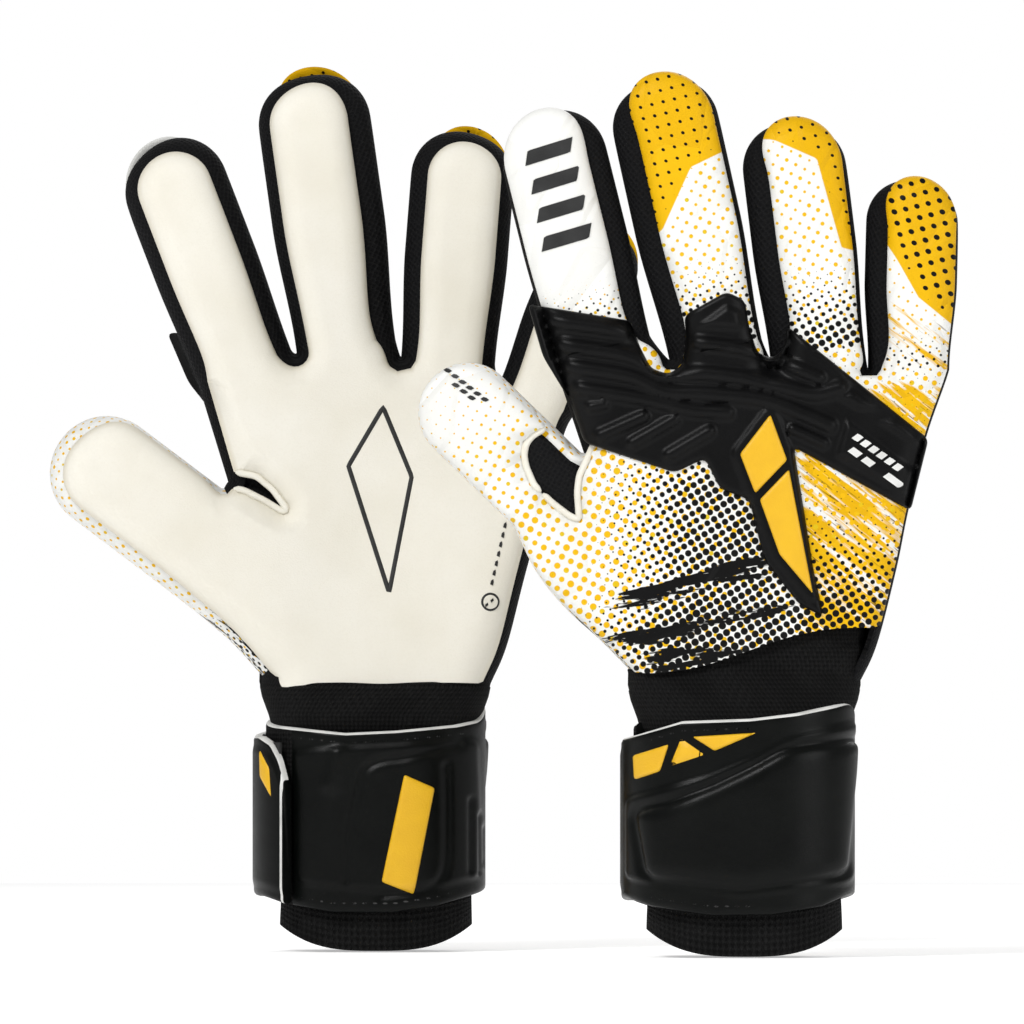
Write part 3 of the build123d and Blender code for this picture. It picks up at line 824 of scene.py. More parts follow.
def make_walls(glove):
    """The strips between the palm's and the back's panels, one for each digit and each run of the hand."""
    tags, webs = glove.tags, 0
    starts = [i for i in range(len(tags)) if i == 0 or tags[i] != tags[i - 1]]
    for first, end in zip(starts, starts[1:] + [len(tags)]):
        tag = tags[first]
        columns = range(first, min(end + 1, len(tags)))
        verts, uv = [], []
        for k in columns:
            lift = glove.curl(glove.line[k:k + 1])[0] if tag in glove.digits else 0.0
            around = np.stack([np.full(WALL_ROWS, glove.along_line[k]), np.linspace(-12, 12, WALL_ROWS)], 1)
            for push, order in ((0.0, 1), (WALL_THICK, -1)):
                flat, w = wall_section(glove, k, push)
                verts.append(raised(flat, w + lift)[::order])
                uv.append(around[::order])
        verts = np.vstack(verts)
        webs += tag == "web"
        name = f"web_{webs}" if tag == "web" else tag
        fields, material = None, MESH
        if tag in ("thumb", "thumb_edge"):
            material, height = PRINT, verts[:, 2]
            plain = {"yellow": NO_YELLOW, "specks": 0.75, "streak": 0.0, "holes": 0.0}
            fields = {key: np.full(len(verts), value) for key, value in plain.items()}
            fields.update(tone=0.8 * smooth(118, 98, height), brush=0.42 * smooth(128, 108, height))
        faces = ring_faces(len(columns), 2 * WALL_ROWS)
        obj = build(glove, f"{name}_wall", verts, faces, material, "mesh", np.vstack(uv), fields, sharp=60)
        nodes = [f"{tag}_gusset"] if tag in FINGERS else ["hand_gussets"] if tag == "little_edge" else []
        attach(glove, obj, tag if tag in glove.digits else "hand", nodes)


def make_notch(glove, which):
    """The black mesh seen through the slit or the vent, and the binding round its edge."""
    label = ("slit", "vent")[which]
    loop = notch(glove, which)
    outline, _ = panel_outline(glove, which)
    centre = loop.mean(0)
    points, tris = triangulate(centre + (loop - centre) * 1.18, [], 1.6, glove.cuts(), (0.5, 2.0))
    closed = np.vstack([glove.line + glove.inward * 1.6, foot_line(0)])
    tris = tris[inside(points[tris].mean(1), closed)]
    fall = 5.0 * smooth(6.5, 2.0, distance(points, glove.line))
    hollow = 1.6 * dome(np.maximum(signed(points, loop), 0) / 5.0) * (-1.2, 1)[which]
    top = OUTWARD[which] * (SEAM[which] - (1.2, 0.4)[which] + hollow - fall)
    for owner, part in split(glove, points, tris, ("hand", "thumb", "index"), 4):
        verts, faces, _ = shell(points, part, top, top - OUTWARD[which] * 1.2)
        obj = build(glove, f"{label}_mesh_{owner}", verts, faces, MESH, "mesh", flip=which == 1)
        attach(glove, obj, owner, ["thumb_vent"] if which == 1 and owner == "hand" else [])
    # binding: a rolled edge along the parts of the loop that lie within the panel
    flags = inside(loop, outline) & (distance(loop, glove.border(which)) > 0.2)
    shift = -int(np.argmin(flags))
    loop, flags = np.roll(loop, shift, 0), np.roll(flags, shift)
    ends = np.flatnonzero(np.diff(np.concatenate([[0], flags, [0]])))
    runs = [loop[a:b] for a, b in ends.reshape(-1, 2) if b - a > 5]
    for k, run in enumerate(runs):
        owners = glove.owner(run)
        for owner in ("hand", "thumb", "index"):
            mine = run[owners == owner]
            if len(mine) >= 4:
                path = raised(mine, OUTWARD[which] * (SEAM[which] + 0.9) + glove.curl(mine))
                obj = tube(glove, f"{label}_binding_{k}_{owner}", path, 1.15, BINDING)
                attach(glove, obj, owner)


def tube(glove, name, path, radius, material, closed=False, flat=1.0):
    """A round cord or roll along a path in the glove's frame, thinner towards open ends."""
    n, sides = len(path), 8
    ahead = unit(np.roll(path, -1, 0) - np.roll(path, 1, 0) if closed else np.gradient(path, axis=0))
    side = unit(np.cross(ahead, (0, 1, 0)))
    top = np.cross(side, ahead)
    to_end = np.minimum(np.arange(n), np.arange(n)[::-1])
    taper = np.ones(n) if closed else np.minimum(1.0, 0.35 + 0.4 * to_end)
    angle = 2 * math.pi * np.arange(sides) / sides
    ring = np.cos(angle)[:, None] * side[:, None] + flat * np.sin(angle)[:, None] * top[:, None]
    verts = path[:, None] + radius * taper[:, None, None] * ring
    uv = np.stack([np.repeat(lengths(path), sides), np.tile(radius * angle, n)], 1)
    return build(glove, name, verts.reshape(-1, 3), ring_faces(n, sides, closed), material, uv=uv, sharp=0)


# ---------------------------------------------------------------- punch pad and emblem

PAD_LINE = [
    (-71.2, 214.2), (-37.2, 208.7), (-34.6, 200.8), (-30.6, 193.0), (-24.8, 191.2), (-20.2, 194.4),
    (-19.2, 203.0), (-19.7, 210.6), (-5.9, 218.3), (0.2, 215.4), (1.6, 206.5), (4.4, 198.0), (9.4, 196.4),
    (13.4, 200.2), (13.8, 207.2), (35.2, 190.2), (60.5, 169.9), (54.6, 146.2), (16.2, 167.2), (22.5, 128.0),
    (26.0, 111.5), (18.0, 115.5), (6.5, 130.0), (1.5, 150.0), (-8.0, 153.5), (-13.0, 163.5), (-22.8, 158.8),
    (-52.6, 168.6), (-57.4, 182.5), (-66.2, 197.0),
]
# The pad's ribs: line and half width
PAD_BARS = [
    ([(-63.0, 208.6), (-50.0, 206.9), (-39.4, 205.4)], 2.9),
    ([(-59.6, 200.7), (-38.0, 197.2), (-26.5, 191.6), (-12.2, 191.4), (5.2, 189.0), (21.7, 184.9),
      (31.5, 186.6)], 3.1),
    ([(-57.0, 193.6), (-37.4, 190.4), (-25.7, 185.6), (-10.3, 184.6), (7.2, 182.6), (19.8, 177.9),
      (28.0, 174.4)], 3.1),
    ([(-54.0, 186.4), (-33.5, 183.2), (-18.0, 179.6), (-5.5, 178.6)], 2.9),
    ([(-15.6, 201.6), (0.4, 199.4), (13.0, 194.8), (24.6, 190.0)], 2.7),
    ([(-50.5, 180.4), (-46.0, 181.2)], 2.2),
    ([(-47.5, 170.9), (-33.0, 177.4)], 2.6), ([(-36.6, 168.6), (-23.0, 176.4)], 2.6),
    ([(-24.6, 164.7), (-11.5, 172.4)], 2.6), ([(15.8, 173.2), (26.0, 168.6)], 2.2),
]
PAD_CELLS = [
    [(-16.5, 206.6), (-5.6, 214.6), (-0.8, 212.0), (-0.4, 205.4)],
    [(28.5, 184.4), (36.2, 186.4), (44.9, 179.6), (37.2, 179.1)],
    [(42.5, 176.2), (50.2, 176.7), (58.0, 169.9), (57.6, 166.6)],
    [(33.3, 177.2), (56.3, 159.6), (53.9, 150.2), (29.6, 164.3)],
]
# The badge's rows of dashes: line, count, height and share of each step that is filled
BADGE_ROWS = [
    ([(36.2, 171.0), (52.0, 159.4)], 6, 2.5, 0.7), ([(34.8, 166.6), (43.4, 160.4)], 2, 2.3, 0.7),
    ([(46.4, 158.2), (51.6, 154.4)], 1, 2.3, 1.0),
]
PAD_THICK = 1.7
EMBLEM_UPPER = [(8.5, 178.0), (14.0, 163.0), (3.5, 152.0), (-1.5, 165.0)]
EMBLEM_LOWER = [(14.6, 160.0), (22.5, 119.0), (11.5, 132.0), (5.0, 150.0)]


def warp(glove, points):
    """Moves points drawn on the right glove's back to where they lie on this glove's."""
    points = np.asarray(points, float)
    if glove.side == "right":
        return points
    home = GLOVES["right"].digits
    local = [home[name].local(points) for name in FINGERS]
    weights = np.stack([np.exp(-(cs[:, 0] / 16.0) ** 2) + 1e-9 for cs in local], 1)
    shifts = np.stack([glove.digits[name].place(cs) - points for name, cs in zip(FINGERS, local)], 1)
    weights /= weights.sum(1)[:, None]
    return points + smooth(150, 195, points[:, 1])[:, None] * (weights[..., None] * shifts).sum(1)


def make_pad(glove):
    """The moulded pad over the knuckles with its ribs and cells, and the emblem's two shards."""
    loop = rounded(warp(glove, PAD_LINE), 2.2, 0.8)
    points, tris = triangulate(loop, [], 1.0, glove.cuts(), (0.3, 0.8, 1.5))
    near = distance(points, loop, True)
    relief = np.zeros(len(points))
    for line, radius in PAD_BARS:
        d = distance(points, curve(warp(glove, line), 1.5))
        relief = np.maximum(relief, 1.8 * smooth(1.1, 0.25, d / radius))
    for cell in PAD_CELLS:
        relief = np.maximum(relief, 1.5 * smooth(-0.4, 2.2, signed(points, rounded(warp(glove, cell), 1.2))))
    shards = [rounded(warp(glove, e), 0.8) for e in (EMBLEM_UPPER, EMBLEM_LOWER)]
    for shard in shards:
        relief = np.maximum(relief, 1.3 * smooth(-3.2, -2.0, signed(points, shard)))
    base = face_level(glove, 1, points)
    top = base + PAD_THICK * dome(near / 1.6) + relief * smooth(0.4, 1.6, near)
    under = np.where(near < 1e-6, top, base - 0.6)
    for owner, part in split(glove, points, tris, ["hand"] + FINGERS, 4):
        verts, faces, _ = shell(points, part, top, under)
        obj = build(glove, f"punch_pad_{owner}", verts, faces, PUNCH, "punch_rubber", flip=True, sharp=60)
        attach(glove, obj, owner, ["punch_pad"] if owner == "hand" else [])
    pieces = []
    for shard in shards:
        inner, itris = triangulate(shard, [], 1.4, (), (0.3, 0.9))
        level = face_level(glove, 1, inner) + PAD_THICK + 1.3
        rim = 0.9 * dome(distance(inner, shard, True) / 0.9)
        pieces.append(shell(inner, itris, level + rim, level - 0.8))
    attach(glove, join(glove, "emblem", pieces, GOLD, "emblem_yellow", True), "hand", ["emblem_inlay"])


def join(glove, name, pieces, material, slot=None, flip=False):
    """One object from several shells."""
    verts, faces = [], []
    for v, f, *_ in pieces:
        base = sum(len(x) for x in verts)
        verts.append(v)
        faces += [tuple(i + base for i in face) for face in f]
    return build(glove, name, np.vstack(verts), faces, material, slot, flip=flip)


# ---------------------------------------------------------------- cuff and strap

def slot_ring(half_flat, radius):
    """Points round a wrist section, from +u towards the back of the hand."""
    turn = np.linspace(-math.pi / 2, math.pi / 2, 30)
    right = np.stack([half_flat + radius * np.cos(turn), radius * np.sin(turn)], 1)
    back = np.stack([np.linspace(half_flat, -half_flat, 18), np.full(18, radius)], 1)[1:-1]
    return np.vstack([right, back, -right, -back])


def sleeve_profile(z):
    """Half flat, radius and shift of the wrist's section at a height."""
    zs = [0, 40, 70, 78, 84, 89, 93, 112]
    flats = [10.4, 10.2, 10.4, 11.5, 15.5, 19.5, 21.5, 27.0]
    radii = [21.8, 21.2, 21.6, 22.6, 20.8, 17.9, 15.8, 13.6]
    shifts = [0, 0, 0, -0.3, -0.8, -1.3, -1.5, -1.6]
    return [np.interp(z, zs, v) for v in (flats, radii, shifts)]


AROUND = 171.0              # the texture's length once round the wrist


def make_tube_piece(glove, name, heights, wobble, thickness, material, hem=0.0, fold=0.0):
    """A knitted sleeve: outer skin up, inner skin down, with rounded rims.

    The hem rises at the wrist's two ends. The fold stands proud below the line where the print ends.
    """
    rings, uv = [], []
    rng = np.random.default_rng(7 if glove.side == "left" else 11)
    phases = rng.uniform(0, 2 * math.pi, 6)
    rims = [(heights[0], -0.55 * thickness)], [(heights[-1], -0.55 * thickness)]
    levels = rims[0] + [(z, 0.0) for z in heights] + rims[1] + [(z, -thickness) for z in heights[::-1]]
    for z, inset in levels:
        flat, radius, shift = sleeve_profile(z)
        ring = slot_ring(flat, radius + inset) + (0, shift)
        angle = np.arctan2(ring[:, 1], ring[:, 0])
        ripple = sum(np.sin((k + 2) * angle + phases[k] + z * 0.05) for k in range(4))
        ring = ring * (1 + 0.006 * wobble * ripple)[:, None]
        back = np.interp(ring[:, 0], [-33, -12, 14, 25, 36], [94.6, 94.2, 96.8, 99.6, 102.0])
        line = np.where(ring[:, 1] > 0, back, 87.5)
        proud = fold * smooth(line + 0.7, line - 0.5, z) * smooth(70, 76, z)
        ring = ring * (1 + proud / np.linalg.norm(ring, axis=1))[:, None]
        lift = hem * (np.abs(ring[:, 0]) / 33) ** 3 * smooth(24, 0, z)
        rings.append(np.stack([ring[:, 0], ring[:, 1], z + lift], 1))
        around = lengths(ring)
        around *= AROUND / (around[-1] + np.linalg.norm(ring[0] - ring[-1]))
        uv.append(np.stack([around, np.full(len(ring), z)], 1))
    faces = ring_faces(len(rings), len(rings[0]), True)
    obj = build(glove, name, np.vstack(rings), faces, material, "elastic_knit", np.vstack(uv), flip=True,
                period=AROUND, sharp=70)
    attach(glove, obj, "hand", [name])


def make_cuff(glove):
    sleeve = np.concatenate([[0, 0.8], np.arange(2.5, 76, 2.5)])
    make_tube_piece(glove, "cuff_sleeve", list(sleeve), 1.0, 2.2, KNIT, hem=9.5)
    make_tube_piece(glove, "cuff_collar", list(np.arange(72, 113.1, 1.0)), 0.7, 2.0, BAND, fold=1.1)


WRAP_FOLD, TAB_FOLD = 45.0, 97.0
STRAP_THICK = 4.0
STRAP_MID = 24.4
TAB_MID = 27.7
TAB_CENTRE = (-10.7, -3.3)
HALF_FLAT = 10.0


def arc(centre, radius, start, end, step=1.0):
    n = max(3, int(abs(math.radians(end - start)) * radius / step))
    a = np.radians(np.linspace(start, end, n))
    return np.stack([centre[0] + radius * np.cos(a), centre[1] + radius * np.sin(a)], 1)


def strap_path():
    """The strap's middle line from the start sewn on the palm side round to the free end."""
    line = np.vstack([
        arc((-HALF_FLAT, 0), STRAP_MID, 165, 270),
        [(x, -STRAP_MID) for x in np.arange(-HALF_FLAT + 1, HALF_FLAT, 1.0)],
        arc((HALF_FLAT, 0), STRAP_MID, -90, 90),
        [(x, STRAP_MID) for x in np.arange(HALF_FLAT - 1, TAB_CENTRE[0], -1.0)],
        arc(TAB_CENTRE, TAB_MID, 90, 228),
    ])
    return resample(line, 1.0)


STRAP_PATH = strap_path()
STRAP_ALONG = lengths(STRAP_PATH)
STRAP_AHEAD = np.gradient(STRAP_PATH, axis=0)
STRAP_OUT = unit(np.stack([STRAP_AHEAD[:, 1], -STRAP_AHEAD[:, 0]], 1))


def strap_place(x, side):
    """Along the strap, where it passes x: on the palm side (0), the back (1) or the tab's palm side (2)."""
    w, along = STRAP_PATH[:, 1], STRAP_ALONG
    on = [
        (w < -0.5) & (along < 140) & (along > 6.6),
        (w > 0) & (along > 60),
        (w < -4) & (along > 140) & (np.arange(len(w)) >= len(w) - 22),
    ][side]
    order = np.argsort(STRAP_PATH[on, 0])
    return np.interp(x, STRAP_PATH[on, 0][order], along[on][order])


def strap_turn(centre, radius, angle):
    """Along the strap, where it passes an angle of one of its arcs."""
    return STRAP_ALONG[np.argmin(np.linalg.norm(STRAP_PATH - arc(centre, radius, angle, angle)[0], axis=1))]


def strap_edges(x, w, tab=False):
    """The height of the strap's lower and upper edge at a place round the wrist."""
    share = smooth(-12, 12, w)
    palm_low = np.interp(x, [-36, -29, -14, 6, 20, 34], [18.0, 15.6, 12.9, 12.8, 15.0, 19.2])
    palm_high = np.interp(x, [-36, -10, 7, 26, 36], [74.9, 72.2, 73.0, 74.8, 77.0])
    back_low = np.interp(x, [-41, -36, -30, -11, 9, 24.5, 36], [21.5, 18.6, 16.5, 13.6, 13.8, 16.4, 21.5])
    back_high = np.interp(x, [-40, -20, 2, 17, 28, 36], [76.8, 77.4, 78.2, 80.0, 82.4, 84.6])
    low, high = palm_low + (back_low - palm_low) * share, palm_high + (back_high - palm_high) * share
    if tab:
        back_cut = np.interp(x, [-40, -37, -20, -19], [71.0, 72.0, 77.4, 99.0])
        high = np.minimum(high, np.where(w > 0, back_cut, 71.0))
        end_cut = np.interp(x, [-37, -33.5, -31, -29.2], [71.0, 68.6, 63.5, 56.5])
        high = np.where(w < -4, np.minimum(high, end_cut), high)
    return low, high


# The embossing, as seen from the palm and from the back: (x, height)
PALM_FIELD = [(-26.5, 21.5), (-27, 67), (-15, 68.5), (33, 71), (34.5, 24), (12, 18.0)]
PALM_GROOVES = [
    ([(-9.8, 23), (-8.5, 37.7), (-6.3, 50), (-3.2, 60.1), (2.5, 63.2), (9.7, 64.2), (26.2, 68.4)], 1.3),
    ([(22.1, 61.3), (22.4, 44), (21.5, 25.9), (15, 20.6), (2, 18.5)], 1.3),
    ([(29.5, 50), (29.5, 26)], 0.9), ([(32.4, 44.8), (32.4, 26)], 0.8), ([(34.4, 40.7), (34.4, 29)], 0.7),
]
PALM_PILL = [(-12.2, 65.5), (-14.0, 55.0)]
BACK_FRAME = [
    (-37.2, 25.0), (-37.2, 52.0), (-13.4, 59.2), (4.8, 66.6), (16.9, 73.2), (37.0, 77.6), (34.0, 24.0),
    (-1.2, 19.6),
]
BACK_PANEL = [
    (-33.4, 47.5), (-24, 49.7), (-11.1, 55), (1.8, 61.1), (13.9, 67.9), (35.1, 70.6), (31.3, 27.8),
    (16.9, 25.5), (-1.2, 22.9), (-30, 26.6),
]


def strap_relief(points, on_back):
    """How far the embossing stands out of the strap at points (x, height)."""
    d = signed(points, rounded(PALM_FIELD, 4))
    palm = 0.9 * smooth(0, 2.5, d)
    for line, r in PALM_GROOVES:
        palm = palm - 1.0 * np.exp(-(distance(points, curve(line, 1.0)) / r) ** 2)
    palm = palm + 1.1 * np.exp(-(distance(points, np.array(PALM_PILL)) / 2.3) ** 2)
    frame_side = signed(points, rounded(BACK_FRAME, 3))
    d = signed(points, rounded(BACK_PANEL, 3.5))
    back = 0.9 * smooth(-0.4, 1.4, frame_side) - 1.0 * np.exp(-((d + 1.3) / 1.2) ** 2)
    back = back + 1.5 * dome(np.maximum(d, 0) / 5.0)
    return np.where(on_back, back, palm)


def strap_height(x, w, z, along, tab):
    """The strap's outer face above its middle line."""
    low, high = strap_edges(x, w, tab)
    depth = np.minimum(z - low, high - z)
    side = smooth(1.0, 3.5, depth) * np.where(w > 0, smooth(0.0, 6.0, w), smooth(0.0, 6.0, -w))
    relief = strap_relief(np.stack([x, z], -1), w > 0)
    on_tab_end = (w < 0) & (along > 140)
    relief = np.where(on_tab_end, 0.5 * smooth(2.0, 5.5, depth), relief)
    return STRAP_THICK / 2 * (0.35 + 0.65 * dome(depth / 1.4)) + relief * side


STRAP_ROWS = np.concatenate([[0, 0.25, 0.8, 1.6], np.linspace(2.6, 57.4, 62), [58.4, 59.2, 59.75, 60]]) / 60


def hinge(glove, obj, a, b, at, reach):
    """Bakes the object's transform in place; nothing bends, and the span of the strap round a place along it
    is worked out but not used. Bodies a and b are not used.
    """
    p = np.array([np.interp(at, STRAP_ALONG, STRAP_PATH[:, k]) for k in range(2)])
    t = unit(np.array([np.interp(at, STRAP_ALONG, STRAP_AHEAD[:, k]) for k in range(2)]))
    ends = glove.world(np.array([(*(p - t * reach), 45), (*(p + t * reach), 45)]))
    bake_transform(obj)


def make_strap_piece(glove, name, start, end, bend=None, tab=False, knit_to=0.0):
    """A length of the strap from start to end along it, with its embossing and a soft rim."""
    keep = (STRAP_ALONG > start + 0.3) & (STRAP_ALONG < end - 0.3)
    along = np.concatenate([[start], STRAP_ALONG[keep], [end]])
    path = np.stack([np.interp(along, STRAP_ALONG, STRAP_PATH[:, k]) for k in range(2)], 1)
    out = np.stack([np.interp(along, STRAP_ALONG, STRAP_OUT[:, k]) for k in range(2)], 1)
    m, rows = len(along), len(STRAP_ROWS)
    low, high = strap_edges(path[:, 0], path[:, 1], tab)
    z = low[:, None] + (high - low)[:, None] * STRAP_ROWS
    x, w = [np.repeat(path[:, k:k + 1], rows, 1) for k in range(2)]
    outer = strap_height(x.ravel(), w.ravel(), z.ravel(), np.repeat(along, rows), tab).reshape(m, rows)
    depth = np.minimum(z - low[:, None], high[:, None] - z)
    inner = STRAP_THICK / 2 * (0.35 + 0.65 * dome(depth / 1.4))
    face = np.stack([x + out[:, :1] * outer, w + out[:, 1:] * outer, z], 2)
    lining = np.stack([x - out[:, :1] * inner, w - out[:, 1:] * inner, z], 2)[:, ::-1]
    verts = np.concatenate([face, lining], 1).reshape(-1, 3)
    uv = np.stack([np.repeat(along, 2 * rows), np.concatenate([z, z[:, ::-1]], 1).ravel()], 1)
    indices = []
    for i in range(m - 1):
        for j in range(2 * rows):
            cut = rows - 3 <= j < rows or (tab and i == m - 2 and j < rows)
            indices.append(1 if cut else 2 if along[i] < knit_to else 0)
    obj = build(glove, name, verts, ring_faces(m, 2 * rows), [STRAP, EDGE_WHITE, BAND], "strap_foam", uv,
                indices=indices + [0, 0], sharp=62)
    if bend:
        hinge(glove, obj, *bend)
        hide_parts(f"{glove.side}_{name}")
    else:
        attach(glove, obj, "hand", [name])


def strap_patch(shapes, side, lift, thick=1.0, spacing=1.3):
    """Flat shapes laid on the strap, each as a closed shell: a list for join."""
    pieces = []
    for shape in shapes:
        loop = rounded(shape, 0.7)
        points, tris = triangulate(loop, [], spacing, (), (0.3, 0.9))
        near = distance(points, loop, True)
        along = strap_place(points[:, 0], side)
        at = [np.interp(along, STRAP_ALONG, v) for v in (*STRAP_PATH.T, *STRAP_OUT.T)]
        height = strap_height(at[0], at[1], points[:, 1], along, side > 0)
        verts, faces, source = shell(points, tris, np.full(len(points), 1.0), np.zeros(len(points)))
        top = verts[:, 1] > 0.5
        rise = np.where(top, height[source] + lift * dome(near[source] / 0.8), height[source] - thick)
        x, w, out_x, out_w = [v[source] for v in at]
        pieces.append((np.stack([x + out_x * rise, w + out_w * rise, verts[:, 2]], 1), faces))
    return pieces


def strap_stitches(side, xs, tab=False):
    """Short dashes of thread along the strap's lower and upper edges."""
    shapes = []
    for x in xs:
        along = strap_place(x, side)
        w = np.interp(along, STRAP_ALONG, STRAP_PATH[:, 1])
        low, high = strap_edges(x, w, tab)
        for z in (low + 3.0, high - 3.2):
            corners = ((-0.9, -0.28), (0.9, -0.28), (0.9, 0.28), (-0.9, 0.28))
            shapes.append([(x + a, z + b) for a, b in corners])
    return strap_patch(shapes, side, 0.22, 0.3, 3.0)


LOOP_SHAPE = [(-34.2, 27.0), (-34.2, 63.0), (-31.0, 63.0), (-31.0, 27.0)]
STRAP_SHARD = [(9.5, 58.5), (18.6, 54.0), (12.5, 18.8), (2.0, 23.0)]
TAB_SHARDS = [
    [(-34.8, 66.0), (-23.9, 69.8), (-26.6, 60.9), (-34.4, 58.0)],
    [(-20.2, 71.7), (-23.6, 62.6), (-13.0, 66.4)],
    [(-16.8, 72.3), (4.0, 73.6), (-9.9, 67.6)],
]
TAB_END_SHARD = [(-36.2, 66.6), (-33.2, 60.6), (-32.6, 50.9), (-36.0, 57.7)]


def make_strap(glove):
    fold_wrap = strap_turn((HALF_FLAT, 0), STRAP_MID, WRAP_FOLD)
    fold_tab = strap_turn(TAB_CENTRE, TAB_MID, TAB_FOLD)
    cut_low, cut_high = strap_turn((HALF_FLAT, 0), STRAP_MID, 8), float(strap_place(6.0, 1))
    wrap_bend, tab_bend = ("hand", "strap_wrap", fold_wrap, 7.0), ("strap_wrap", "strap_tab", fold_tab, 5.0)
    make_strap_piece(glove, "strap_base", 0.0, cut_low, knit_to=26.0)
    make_strap_piece(glove, "strap_wrap", cut_low, cut_high, wrap_bend)
    make_strap_piece(glove, "strap_tab", cut_high, STRAP_ALONG[-1], tab_bend, True)
    loops = join(glove, "loop_patch_pile", strap_patch([LOOP_SHAPE], 0, 0.7, 0.8, 2.0), PILE, "loop_pile")
    attach(glove, loops, "hand", ["loop_patch"])
    shard = join(glove, "strap_shard", strap_patch([STRAP_SHARD], 0, 0.8), GOLD, "emblem_yellow")
    attach(glove, shard, "hand", ["strap_emblem"])
    pieces = strap_patch(TAB_SHARDS, 1, 0.7, 1.0, 0.8) + strap_patch([TAB_END_SHARD], 2, 0.6)
    shards = join(glove, "tab_shards", pieces, GOLD, "emblem_yellow")
    hinge(glove, shards, *tab_bend)
    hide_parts(f"{glove.side}_tab_inlays")
    seam = join(glove, "strap_base_seam", strap_stitches(0, np.arange(-24, 33, 3.4)), THREAD)
    attach(glove, seam, "hand")
    seam = join(glove, "strap_tab_seam", strap_stitches(1, np.arange(-33, 4, 3.4), True), THREAD)
    hinge(glove, seam, *tab_bend)


# ---------------------------------------------------------------- marks on the palm and the back

KITE = [(2.5, 180.0), (-9.0, 160.5), (4.5, 118.5), (12.0, 157.0)]
INDEX_BARS = [
    [(-71.6, 262.0), (-56.8, 266.6)], [(-69.6, 252.6), (-54.6, 257.2)],
    [(-67.8, 243.2), (-52.6, 247.8)], [(-66.2, 233.8), (-50.6, 238.4)],
]
THUMB_ROWS = [([(-98.2, 193.0), (-83.6, 181.6)], 6), ([(-95.6, 188.2), (-87.8, 182.0)], 3)]
PALM_MARK = (38.0, 115.5)


def bar(a, b, thick, slant=0.0):
    """A slanted bar from a to b, as a closed shape."""
    a, b = np.array(a, float), np.array(b, float)
    along = (b - a) / np.linalg.norm(b - a)
    up = np.array([-along[1], along[0]]) * thick / 2
    lean = along * slant
    return [a - up - lean, b - up - lean, b + up + lean, a + up + lean]


def dashes(line, count, thick, fill=0.66, slant=0.0):
    """Short bars in a row along a line."""
    a, b = np.array(line, float)
    step = (b - a) / count
    return [bar(a + step * k, a + step * (k + fill), thick, slant) for k in range(count)]


def decal(glove, name, shapes, which, owner, material=None, lift=0.0):
    """Printed or moulded marks as thin shells on a panel's face."""
    pieces = []
    for shape in shapes:
        points, tris = triangulate(resample(np.array(shape, float), 1.2, True), [], 1.8, (), ())
        top = face_level(glove, which, points) + OUTWARD[which] * (lift + 0.22)
        pieces.append(shell(points, tris, top, top - OUTWARD[which] * 0.5))
    attach(glove, join(glove, name, pieces, material or PRINT_BLACK, flip=which == 1), owner)


def line_mark(glove, name, loop, radius, flat):
    """A closed printed line on the palm."""
    path = raised(loop, face_level(glove, 0, loop))
    attach(glove, tube(glove, name, path, radius, PRINT_BLACK, True, flat), "hand")


def moved(glove, name, points):
    """Points drawn on the right glove's finger, as they lie on this glove's."""
    return glove.digits[name].place(GLOVES["right"].digits[name].local(np.array(points, float)))


def make_marks(glove):
    line_mark(glove, "palm_kite", resample(np.array(KITE, float), 1.2, True), 0.78, 0.28)
    angles = np.linspace(0, 2 * math.pi, 25)[:-1]
    ring = np.array(PALM_MARK) + 2.7 * np.stack([np.cos(angles), np.sin(angles)], 1)
    line_mark(glove, "palm_ring", ring, 0.38, 0.4)
    rows = dashes([(38.4, 121.0), (43.4, 143.0)], 7, 1.0) + dashes([(36.2, 114.0), (39.8, 117.0)], 2, 0.8)
    decal(glove, "palm_dashes", rows, 0, "hand")
    bars = [bar(*moved(glove, "index", line), 4.6, 1.1) for line in INDEX_BARS]
    decal(glove, "index_bars", bars, 1, "index")
    rows = []
    for line, count in THUMB_ROWS:
        rows += dashes(moved(glove, "thumb", line), count, 1.5, 0.62, 0.3)
    decal(glove, "thumb_bars", rows, 1, "thumb")
    rows = []
    for line, count, thick, fill in BADGE_ROWS:
        rows += dashes(warp(glove, line), count, thick, fill, 0.4)
    decal(glove, "badge_bars", rows, 1, "hand", BADGE_WHITE, PAD_THICK + 1.4)


for glove in GLOVES.values():
    make_panels(glove, 0)
    make_panels(glove, 1)
    make_walls(glove)
    make_notch(glove, 0)
    make_notch(glove, 1)
    make_pad(glove)
    make_cuff(glove)
    make_strap(glove)
    make_marks(glove)

for name, node in frame["nodes"].items():
    if name.endswith("hook_patch"):
        node.data.materials.clear()
        node.data.materials.append(PILE)


# ---------------------------------------------------------------- floor, light and camera

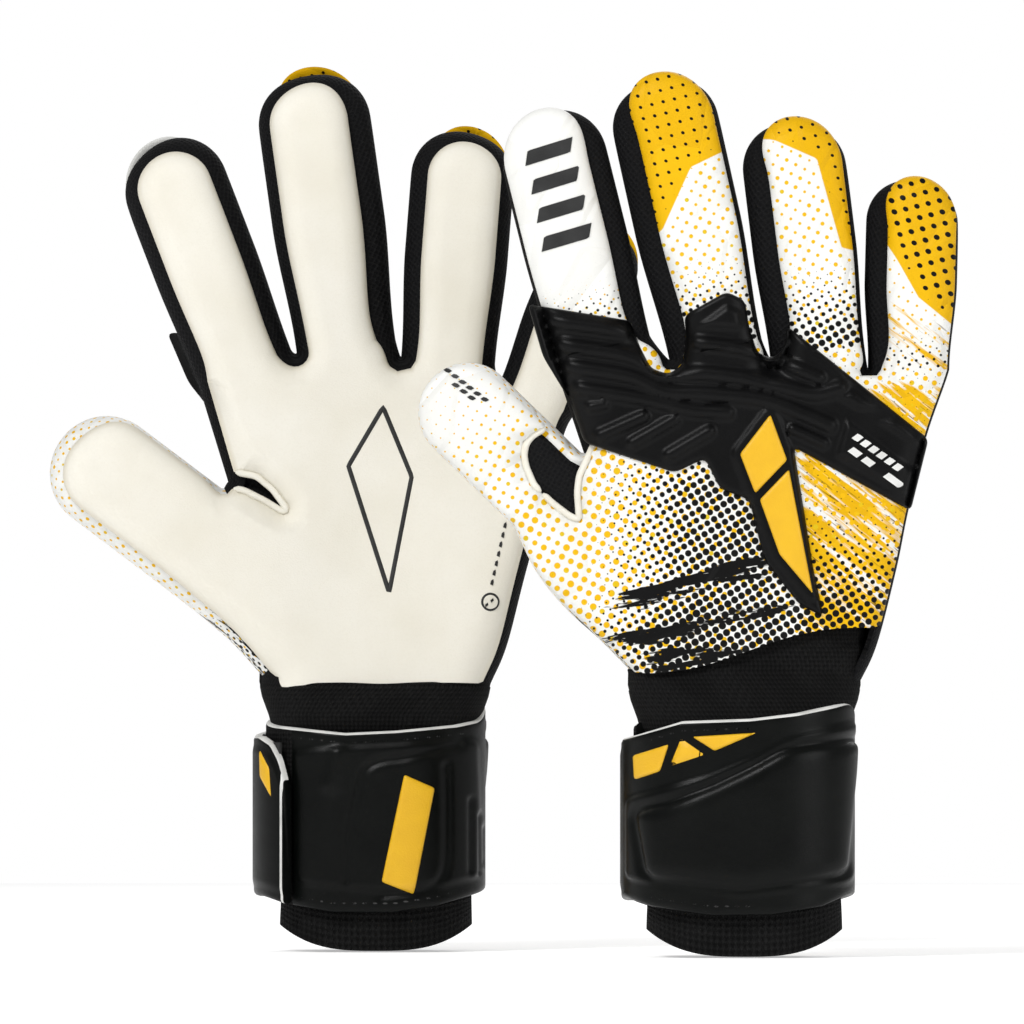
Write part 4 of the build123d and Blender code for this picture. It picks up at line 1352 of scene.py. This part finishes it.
def pale(name, value, glow):
    """A matt pale ground with a faint even glow, as a lit white sweep has."""
    material = bpy.data.materials.new(name)
    material.use_nodes = True
    surface = material.node_tree.nodes["Principled BSDF"]
    surface.inputs["Base Color"].default_value = (*value, 1)
    surface.inputs["Roughness"].default_value = 0.9
    surface.inputs["Specular IOR Level"].default_value = 0.1
    surface.inputs["Emission Color"].default_value = (1, 1, 1, 1)
    surface.inputs["Emission Strength"].default_value = glow
    return material


bpy.ops.mesh.primitive_plane_add(size=3, location=(0, 0, -0.0004))
floor = bpy.context.object
floor.name = "floor"
floor.data.materials.append(pale("floor_pale", (0.9, 0.9, 0.9), 0.42))


def area(name, place, target, size, power):
    data = bpy.data.lights.new(name, "AREA")
    data.size, data.energy = size, power
    light = bpy.data.objects.new(name, data)
    light.location = place
    light.rotation_euler = (Vector(target) - Vector(place)).to_track_quat("-Z", "Y").to_euler()
    bpy.context.scene.collection.objects.link(light)


centre = Vector((0.003, 0, 0.1455))
area("key", (-0.65, -1.05, 1.15), centre, 0.34, 16.0)
area("fill", (1.15, -0.95, 0.55), centre, 0.8, 6.5)
area("rim", (0.3, 1.2, 0.9), centre, 0.9, 6.0)

# The studio's white surround: bright to the camera, softer as a light
world = bpy.data.worlds.new("studio")
world.use_nodes = True
tree = world.node_tree
surround = tree.nodes["Background"]
surround.inputs["Color"].default_value = (1, 1, 1, 1)
seen = tree.nodes.new("ShaderNodeLightPath")
strength = tree.nodes.new("ShaderNodeMath")
strength.operation = "MULTIPLY_ADD"
strength.inputs[1].default_value = 0.68
strength.inputs[2].default_value = 0.32
tree.links.new(seen.outputs["Is Camera Ray"], strength.inputs[0])
tree.links.new(strength.outputs[0], surround.inputs["Strength"])
bpy.context.scene.world = world
bpy.context.scene.view_settings.view_transform = "Standard"

camera_data = bpy.data.cameras.new("camera")
camera = bpy.data.objects.new("camera", camera_data)
bpy.context.scene.collection.objects.link(camera)
VIEW_DISTANCE, VIEW_WIDTH, VIEW_RISE = 13.0, 0.338, math.radians(0.35)
camera_data.sensor_width = 36
camera_data.lens = 36 * VIEW_DISTANCE / VIEW_WIDTH
camera.location = centre + VIEW_DISTANCE * Vector((0, -math.cos(VIEW_RISE), math.sin(VIEW_RISE)))
camera.rotation_euler = (centre - camera.location).to_track_quat("-Z", "Y").to_euler()
camera_data.clip_end = 60
bpy.context.scene.camera = camera
